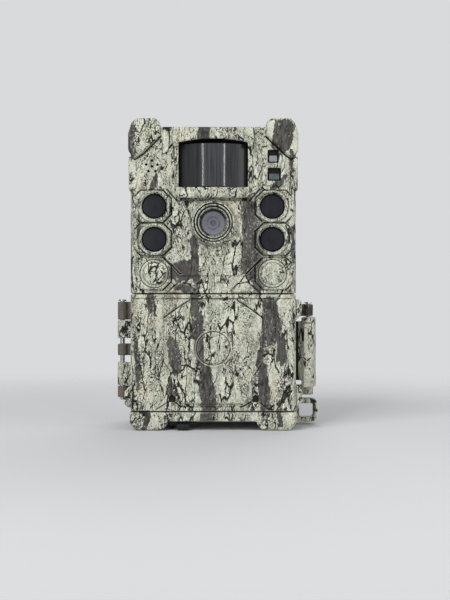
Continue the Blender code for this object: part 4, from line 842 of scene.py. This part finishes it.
for name, c in IR_C.items():
    piece(name + "_glass", [lathe([(0, 0.9), (5.0, 0.9), (5.45, 0.85), (5.6, 0.6), (5.75, 0.8), (5.9, 0.72), (5.9, -0.9), (0, -0.9)], (c.x, c.y, c.z), "Y")],
          "shell", IR_GLASS, [name])
for name, c in CAP_C.items():
    piece(name + "_disc", [lathe([(0, 0.72), (2.6, 0.74), (5.2, 0.70), (5.5, 0.45), (5.8, 0.70), (6.45, 0.66), (6.8, 0.3), (6.85, -0.7), (0, -0.7)],
                                 (c.x, c.y, c.z), "Y")], "shell", CAMO, [name], 50)
e = centre("door_emblem")[0]
piece("door_badge", [lathe([(0, 0.20), (4.0, 0.26), (7.3, 0.20), (7.8, 0.14), (8.0, 0.0), (8.1, -0.2), (8.15, -0.5), (0, -0.5)],
                           (0, e.y, -39.2), "Y")], "door", CAMO, ["door_emblem"], 50)
# stepped ring round the lens: four terraces down to the glass
steps = []
for r, h in ((9.1, 4.3), (7.75, 3.1), (6.95, 1.6)):
    steps += [(r, h - 0.15), (r - 0.10, h), (r - 0.42, h), (r - 0.56, h - 0.12), (r - 0.64, h - 0.2), (r - 0.78, h - 1.0), (r - 0.80, h - 1.2)]
steps = steps[:-2]
ring = [(9.1, -1.2), (9.1, 4.0)] + steps + [(6.2, 0.1), (6.1, 0.0), (6.1, -1.2)]
piece("lens_ring", [lathe(ring, (0, -59.6, LENS_C.z), "Y", 128, closed=True)], "shell", CAMO_RING, ["lens_hood"], 28)
piece("lens_cover", [lathe([(0, 1.05), (1.3, 1.02), (1.45, 0.86), (1.6, 1.0), (3.0, 0.9), (3.15, 0.76), (3.35, 0.88), (5.7, 0.86), (5.95, 0.7), (6.9, 0.5), (6.9, -0.5),
                            (0, -0.5)], (0, LENS_C.y, LENS_C.z), "Y", 128)], "shell", LENS, ["lens_window"], 28)

# motion window: a flat middle and two swept-back sides
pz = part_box("pir_lens")
z0, z1 = pz[0].z / MM, pz[1].z / MM
half = [(x, -58.7 + (-62.26 + 58.7) * (16.6 - x) / (16.6 - 7.4) - 0.12 * math.sin(math.pi * (16.6 - x) / 9.2)) for x in np.linspace(16.6, 7.4, 9)]
for i in range(1, 13):
    q = i / 12
    half.append(((1 - q) ** 2 * 7.4 + 2 * q * (1 - q) * 5.35 + q * q * 3.15, (1 - q) ** 2 * -62.26 + 2 * q * (1 - q) * -63.05 + q * q * -63.05))
half.append((1.6, -63.06))
outer = [(-x, y) for x, y in half] + [(0.0, -63.07)] + half[::-1]
inner = [(x * 0.955, y + 1.0) for x, y in reversed(outer)]
bm = slab(outer + inner, "Z", z0, z1)
piece("motion_window", [bm], "shell", PIR, ["pir_lens"], 25)

# two small windows: a pale sensor and a teal lamp, each low in its dark opening
for name, mat, node in (("light_sensor_block", PALE, "light_sensor_window"), ("status_lamp_block", TEAL, "status_lamp_window")):
    lo, hi = (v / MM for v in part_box(node))
    mid = lo.z + (hi.z - lo.z) * 0.58
    wedge = [(-58.0, lo.z + 0.3), (-60.1, lo.z + 0.3), (-60.3, lo.z + 0.8), (-59.7, mid), (-58.0, mid)]
    piece(name, [slab(wedge, "X", lo.x + 0.5, hi.x - 0.5, 0.25, 3, lambda m, d: m.y < -59)], "shell", mat, [], 40)
    # painted shade: a near-black back to each opening, seen above the block
    piece(name + "_frame", [block((lo.x, hi.x), (-59.0, -58.0), (lo.z, hi.z), 0.2, 2)], "shell", HOLE_SHADE, [node], 40)
# painted shade: a near-black disc behind the microphone holes
piece("mic_hole_shade", [lathe([(0, 0.2), (3.6, 0.2), (3.7, 0.0), (3.7, -0.4), (0, -0.4)], (mic.x, -58.4, mic.z), "Y", 48)], "shell", HOLE_SHADE, [])

# ================================================================ hinge and latch
lo, hi = (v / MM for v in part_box("hinge_pin"))
piece("hinge_rod", [lathe([(0, hi.z), (1.7, hi.z), (1.95, hi.z - 0.12), (2.1, hi.z - 0.35), (2.1, hi.z - 0.9), (1.2, hi.z - 0.9), (1.2, lo.z + 0.2), (1.0, lo.z), (0, lo.z)],
                          (HINGE_C.x, HINGE_C.y, 0), "Z", 48)], "shell", STEEL, ["hinge_pin"])
lo, hi = (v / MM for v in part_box("latch_pin"))
piece("latch_rod", [lathe([(0, hi.z), (1.5, hi.z), (1.8, hi.z - 0.12), (1.9, hi.z - 0.35), (1.9, hi.z - 0.8), (1.1, hi.z - 0.8), (1.1, lo.z + 0.2), (0.9, lo.z), (0, lo.z)],
                          (LATCH_C.x, LATCH_C.y, 0), "Z", 48)], "shell", STEEL, ["latch_pin"])
LX, LY = LATCH_C.x, LATCH_C.y
lever = [(LX + 2.6, LY), (LX + 2.9, -30.0), (LX + 2.5, -38.0), (LX + 0.9, -43.4), (49.6, -45.6), (46.4, -45.6), (45.2, -44.2), (42.0, -41.8), (42.0, -39.8),
         (45.6, -40.6), (47.6, -38.6), (48.3, -34.0), (48.2, LY)]
moulding("latch_arm",
         [slab(lever, "Z", -59.8, -24.2), rod((LX, LY, -42.0), "Z", 2.6, 35.6, 64)],
         [block((40.0, 45.3), (-48.0, -30.0), (-26.2, -20.0)), block((40.0, 45.3), (-48.0, -30.0), (-64.0, -56.4)), rod((LX, LY, -42.0), "Z", 1.3, 60, 48)]
         + groove([(44.0, -27.0), (52.0, -27.0)], 0.7, -45.0, 0.4) + groove([(44.0, -43.0), (48.0, -46.2), (52.0, -43.0)], 0.7, -45.0, 0.5)
         + groove([(44.0, -57.2), (52.0, -57.2)], 0.7, -45.0, 0.4)
         + [block((LX + 2.2, LX + 4.0), (-45.0, -31.0), (z - 0.35, z + 0.35)) for z in (-52.0, -49.6, -47.2)],
         VOX * 0.9, "latch", [CAMO_LEVER], ["latch_lever"], ratio=0.5)
lo, hi = (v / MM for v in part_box("lock_loop"))
loop_o = [(lo.x, hi.z)] + arc(hi.x - 3.4, hi.z - 3.4, 3.4, 90, 0, 8) + arc(hi.x - 3.4, lo.z + 3.4, 3.4, 0, -90, 8) + [(lo.x, lo.z)]
moulding("padlock_eye", [slab(loop_o, "Y", lo.y, hi.y)], [slab(rounded((45.0, 52.5), (-76.4, -69.4), 1.2), "Y", lo.y - 2, hi.y + 2)],
         VOX * 0.9, "shell", [CAMO_PALE], ["lock_loop"], ratio=0.6)
# rubber cover of the power jack
moulding("jack_cover",
         [block((-22.0, -8.0), (-57.4, -46.9), (-77.6, -76.0), 0.7, 3, lambda m, d: m.z < -77),
          lathe([(2.5, 0.7), (2.5, -1.6), (1.5, -1.6), (1.5, 0.7)], (-15.0, -51.6, -75.0), "Z", 48, True),
          slab([(-57.2, -76.4), (-60.2, -77.0), (-60.2, -79.6), (-57.6, -79.6), (-54.0, -77.2)], "X", -18.2, -11.8, 0.4, 2),
          rod((-15.0, -46.6, -76.8), "X", 0.75, 8.0, 32)],
         [block((-21, -9), (-56.5, -56.0), (-78.0, -77.3))], VOX * 0.9, "cover", [RUBBER], ["port_cover"], ratio=0.6)

# ================================================================ carried-over frame nodes
def bevelled(node, mat, width=0.3, segments=2):
    ob = NODES[node]
    w = ob.modifiers.new("weld", "WELD")
    w.merge_threshold = 1e-6
    b = ob.modifiers.new("edge", "BEVEL")
    b.width, b.segments, b.limit_method, b.angle_limit = width * MM, segments, "ANGLE", math.radians(35)
    b.use_clamp_overlap = True
    b.harden_normals = False
    ob.data.materials.clear()
    ob.data.materials.append(mat)
    return ob


def painted(node, mat):
    NODES[node].data.materials.clear()
    NODES[node].data.materials.append(mat)


SHOWN = {
    "tree_bracket": (BRACKET, 0.35), "chassis": (INNER, 0.3), "control_panel": (PANEL, 0.25), "display_screen": (SCREEN, 0.2),
    "mode_switch": (SWITCH, 0.2), "sd_card": (CARD, 0.12), "sd_socket": (STEEL, 0.1), "battery_tray": (INNER, 0.25), "battery_contacts": (STEEL, 0.05),
    "contact_strip": (STEEL, 0.05), "door_seal": (SEAL, 0.2), "housing_seal": (SEAL, 0.2), "dc_jack": (BLACK, 0.1), "tripod_insert": (BRASS, 0.1),
    "pir_sensor": (STEEL, 0.1), "lens_barrel": (BLACK, 0.1), "ir_cut_frame": (BLACK, 0.1), "ir_cut_filter": (TEAL, 0.05), "sensor_board": (CIRCUIT, 0.1),
    "ir_board_left": (CIRCUIT, 0.1), "ir_board_right": (CIRCUIT, 0.1), "main_board": (CIRCUIT, 0.1), "microphone": (STEEL, 0.1),
}
for node, (mat, width) in SHOWN.items():
    bevelled(node, mat, width)
# keys: domed caps, with plain arrow marks
for node, turn in (("key_up", 90), ("key_down", 270), ("key_left", 180), ("key_right", 0), ("key_ok", None)):
    c, s = centre(node)
    r = s.x / 2
    body = node[4:] + "_key"
    piece(node + "_cap", [lathe(crown(r, 1.5, 0.5, 0.25), (c.x, c.y, c.z), "Y", 64), lathe([(r, 0.0), (r, -1.5), (0, -1.5)] + [(0, 0.0)], (c.x, c.y, c.z), "Y", 64)],
          body, KEY_RUBBER, [node])
    if turn is None:
        mark = lathe([(1.5, 0.0), (1.5, 0.12), (1.05, 0.12), (1.05, 0.0)], (c.x, c.y - 1.68, c.z), "Y", 48, True)
    else:
        pts = [(c.x + 1.25 * math.cos(math.radians(turn + a)), c.z + 1.25 * math.sin(math.radians(turn + a))) for a in (0, 130, 230)]
        mark = slab(pts, "Y", c.y - 1.82, c.y - 1.6)
    piece(node + "_mark", [mark], body, KEY_MARK, [])
# cells
for n in range(1, 7):
    c, s = centre(f"battery_{n}")
    nub = 1 if ((n - 1) % 3 + (n - 1) // 3) % 2 == 0 else -1
    h = s.z / 2
    pts = [(0, h), (2.4, h), (2.7, h - 0.25), (2.7, h - 1.3), (5.9, h - 1.3), (6.1, h - 1.0), (6.6, h - 1.05), (7.0, h - 1.6), (7.0, -h + 0.6), (6.6, -h + 0.05),
           (6.0, -h), (5.6, -h + 0.25), (0, -h + 0.25)]
    b = lathe(pts, (0, 0, 0), "Z", 64)
    if nub < 0:
        bmesh.ops.rotate(b, verts=b.verts, cent=(0, 0, 0), matrix=Matrix.Rotation(math.pi, 3, "X"))
    bmesh.ops.translate(b, vec=c, verts=b.verts)
    piece(f"cell_{n}", [b], "tray", CELL, [f"battery_{n}"])
# screws, with a six-sided recess
for node in [f"case_screw_{i}" for i in range(1, 5)] + [f"bracket_screw_{i}" for i in (1, 2)]:
    c, s = centre(node)
    lo, hi = (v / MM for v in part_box(node))
    R = s.x / 2
    head_h = 1.6 if node.startswith("case") else 1.5
    top = -hi.y
    outer = [(R * 0.45, -hi.y * 0 - 0.9), (R * 0.5, 0.0), (R * 0.78, -0.05), (R * 0.95, -0.3), (R, -0.6), (R, -head_h), (R * 0.52, -head_h), (R * 0.52, -(hi.y - lo.y))]
    b = bmesh.new()
    steps_n = 48
    rings = []
    for i, (r, h) in enumerate(outer):
        row = []
        for q in range(steps_n):
            a = math.tau * q / steps_n
            rr = r
            if i <= 1:
                rr = r * 0.92 / max(math.cos((a % (math.pi / 3)) - math.pi / 6), 0.5)
            row.append(b.verts.new((rr * math.cos(a), rr * math.sin(a), h)))
        rings.append(row)
    b.faces.new(rings[0])
    b.faces.new(rings[-1])
    for r0, r1 in zip(rings, rings[1:]):
        for q in range(steps_n):
            w = (q + 1) % steps_n
            b.faces.new((r0[q], r0[w], r1[w], r1[q]))
    bmesh.ops.recalc_face_normals(b, faces=b.faces)
    bmesh.ops.transform(b, matrix=Matrix.Translation((c.x, hi.y, c.z)) @ Matrix.Rotation(-math.pi / 2, 4, "X"), verts=b.verts)
    piece(node + "_head", [b], "shell", STEEL, [node])

# ================================================================ stage, light, camera
def pale_floor():
    mat = bpy.data.materials.new("pale_floor")
    mat.use_nodes = True
    t = mat.node_tree
    p = t.nodes["Principled BSDF"]
    p.inputs["Base Color"].default_value = (*lin(205, 206, 208), 1.0)
    p.inputs["Roughness"].default_value = 0.8
    p.inputs["Specular IOR Level"].default_value = 0.2
    co = t.nodes.new("ShaderNodeTexCoord")
    ln = t.nodes.new("ShaderNodeVectorMath")
    ln.operation = "LENGTH"
    t.links.new(co.outputs["Object"], ln.inputs[0])
    fade = t.nodes.new("ShaderNodeMapRange")
    fade.interpolation_type = "SMOOTHSTEP"
    fade.inputs["From Min"].default_value, fade.inputs["From Max"].default_value = 0.14, 0.42
    fade.inputs["To Min"].default_value, fade.inputs["To Max"].default_value = 1.0, 0.0
    t.links.new(ln.outputs["Value"], fade.inputs["Value"])
    clear = t.nodes.new("ShaderNodeBsdfTransparent")
    mix = t.nodes.new("ShaderNodeMixShader")
    t.links.new(fade.outputs["Result"], mix.inputs[0])
    t.links.new(clear.outputs[0], mix.inputs[1])
    t.links.new(p.outputs[0], mix.inputs[2])
    t.links.new(mix.outputs[0], t.nodes["Material Output"].inputs["Surface"])
    return mat


bm = bmesh.new()
bmesh.ops.create_circle(bm, cap_ends=True, radius=0.6, segments=96)
me = bpy.data.meshes.new("floor")
bm.to_mesh(me)
bm.free()
me.materials.append(pale_floor())
floor = bpy.data.objects.new("floor", me)
floor.location = (0, -0.03, CAD_LO.z - 0.0001)
scene.collection.objects.link(floor)
# when the tray or the rubber cover hangs below the feet, the floor gives way and stays just under it
for n, (tip, body) in enumerate((((-15.0, -60.2, -79.6), "cover"), ((-15.0, -60.2, -77.0), "cover"), ((0.0, -30.0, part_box("battery_tray")[0].z / MM), "tray"))):
    probe = bpy.data.objects.new(f"floor_probe_{n}", None)
    probe.location = Vector(tip) * MM
    scene.collection.objects.link(probe)
    bpy.context.view_layer.update()
    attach(probe, body)
    under = floor.constraints.new("FLOOR")
    under.target, under.floor_location, under.offset = probe, "FLOOR_NEGATIVE_Z", 0.0

world = bpy.data.worlds.new("pale_room")
scene.world = world
world.use_nodes = True
wt = world.node_tree
bg = wt.nodes["Background"]
bg.inputs["Color"].default_value = (*lin(222, 223, 225), 1.0)
bg.inputs["Strength"].default_value = 0.55
seen = wt.nodes.new("ShaderNodeBackground")
seen.inputs["Color"].default_value = (*lin(217, 218, 219), 1.0)
seen.inputs["Strength"].default_value = 1.0
path = wt.nodes.new("ShaderNodeLightPath")
wmix = wt.nodes.new("ShaderNodeMixShader")
wt.links.new(path.outputs["Is Camera Ray"], wmix.inputs[0])
wt.links.new(bg.outputs[0], wmix.inputs[1])
wt.links.new(seen.outputs[0], wmix.inputs[2])
wt.links.new(wmix.outputs[0], wt.nodes["World Output"].inputs["Surface"])


def softbox(name, at, look, size, watts, colour=(1, 1, 1)):
    la = bpy.data.lights.new(name, "AREA")
    la.shape, la.size, la.size_y, la.energy, la.color = "RECTANGLE", size[0], size[1], watts, colour
    ob = bpy.data.objects.new(name, la)
    ob.location = at
    ob.rotation_mode = "QUATERNION"
    ob.rotation_quaternion = (Vector(look) - Vector(at)).to_track_quat("-Z", "Y")
    scene.collection.objects.link(ob)
    return ob


mid = Vector((0, -0.03, 0))
softbox("key_light", (-0.45, -0.65, 0.75), mid, (0.5, 0.5), 6.0)
softbox("fill_light", (0.85, -0.5, 0.15), mid, (0.6, 0.8), 2.5)
softbox("back_light", (0.3, 0.9, 0.5), mid, (0.9, 0.7), 4.5)
# two upright strips whose reflections run down the edges of the motion window's middle flat
softbox("strip_left", (-0.20, -0.62, 0.08), (0, -0.06, 0.05), (0.035, 0.36), 0.75)
softbox("strip_right", (0.24, -0.60, 0.08), (0, -0.06, 0.05), (0.035, 0.36), 0.6)

cam = bpy.data.cameras.new("camera")
cam.sensor_fit = "AUTO"
cam.sensor_width = 36.0
shot = bpy.data.objects.new("camera", cam)
scene.collection.objects.link(shot)
DIST = 0.50
FRAME_H = 0.2962          # height of the view at the front face
cam.lens = 36.0 * DIST / FRAME_H
shot.location = (0.0, -0.0615 - DIST, -0.0153)
shot.rotation_euler = (math.pi / 2, 0, 0)
cam.shift_x = 0.0058 / FRAME_H
cam.clip_start, cam.clip_end = 0.01, 20.0
scene.camera = shot
scene.view_settings.view_transform = "Standard"
scene.view_settings.look = "None"
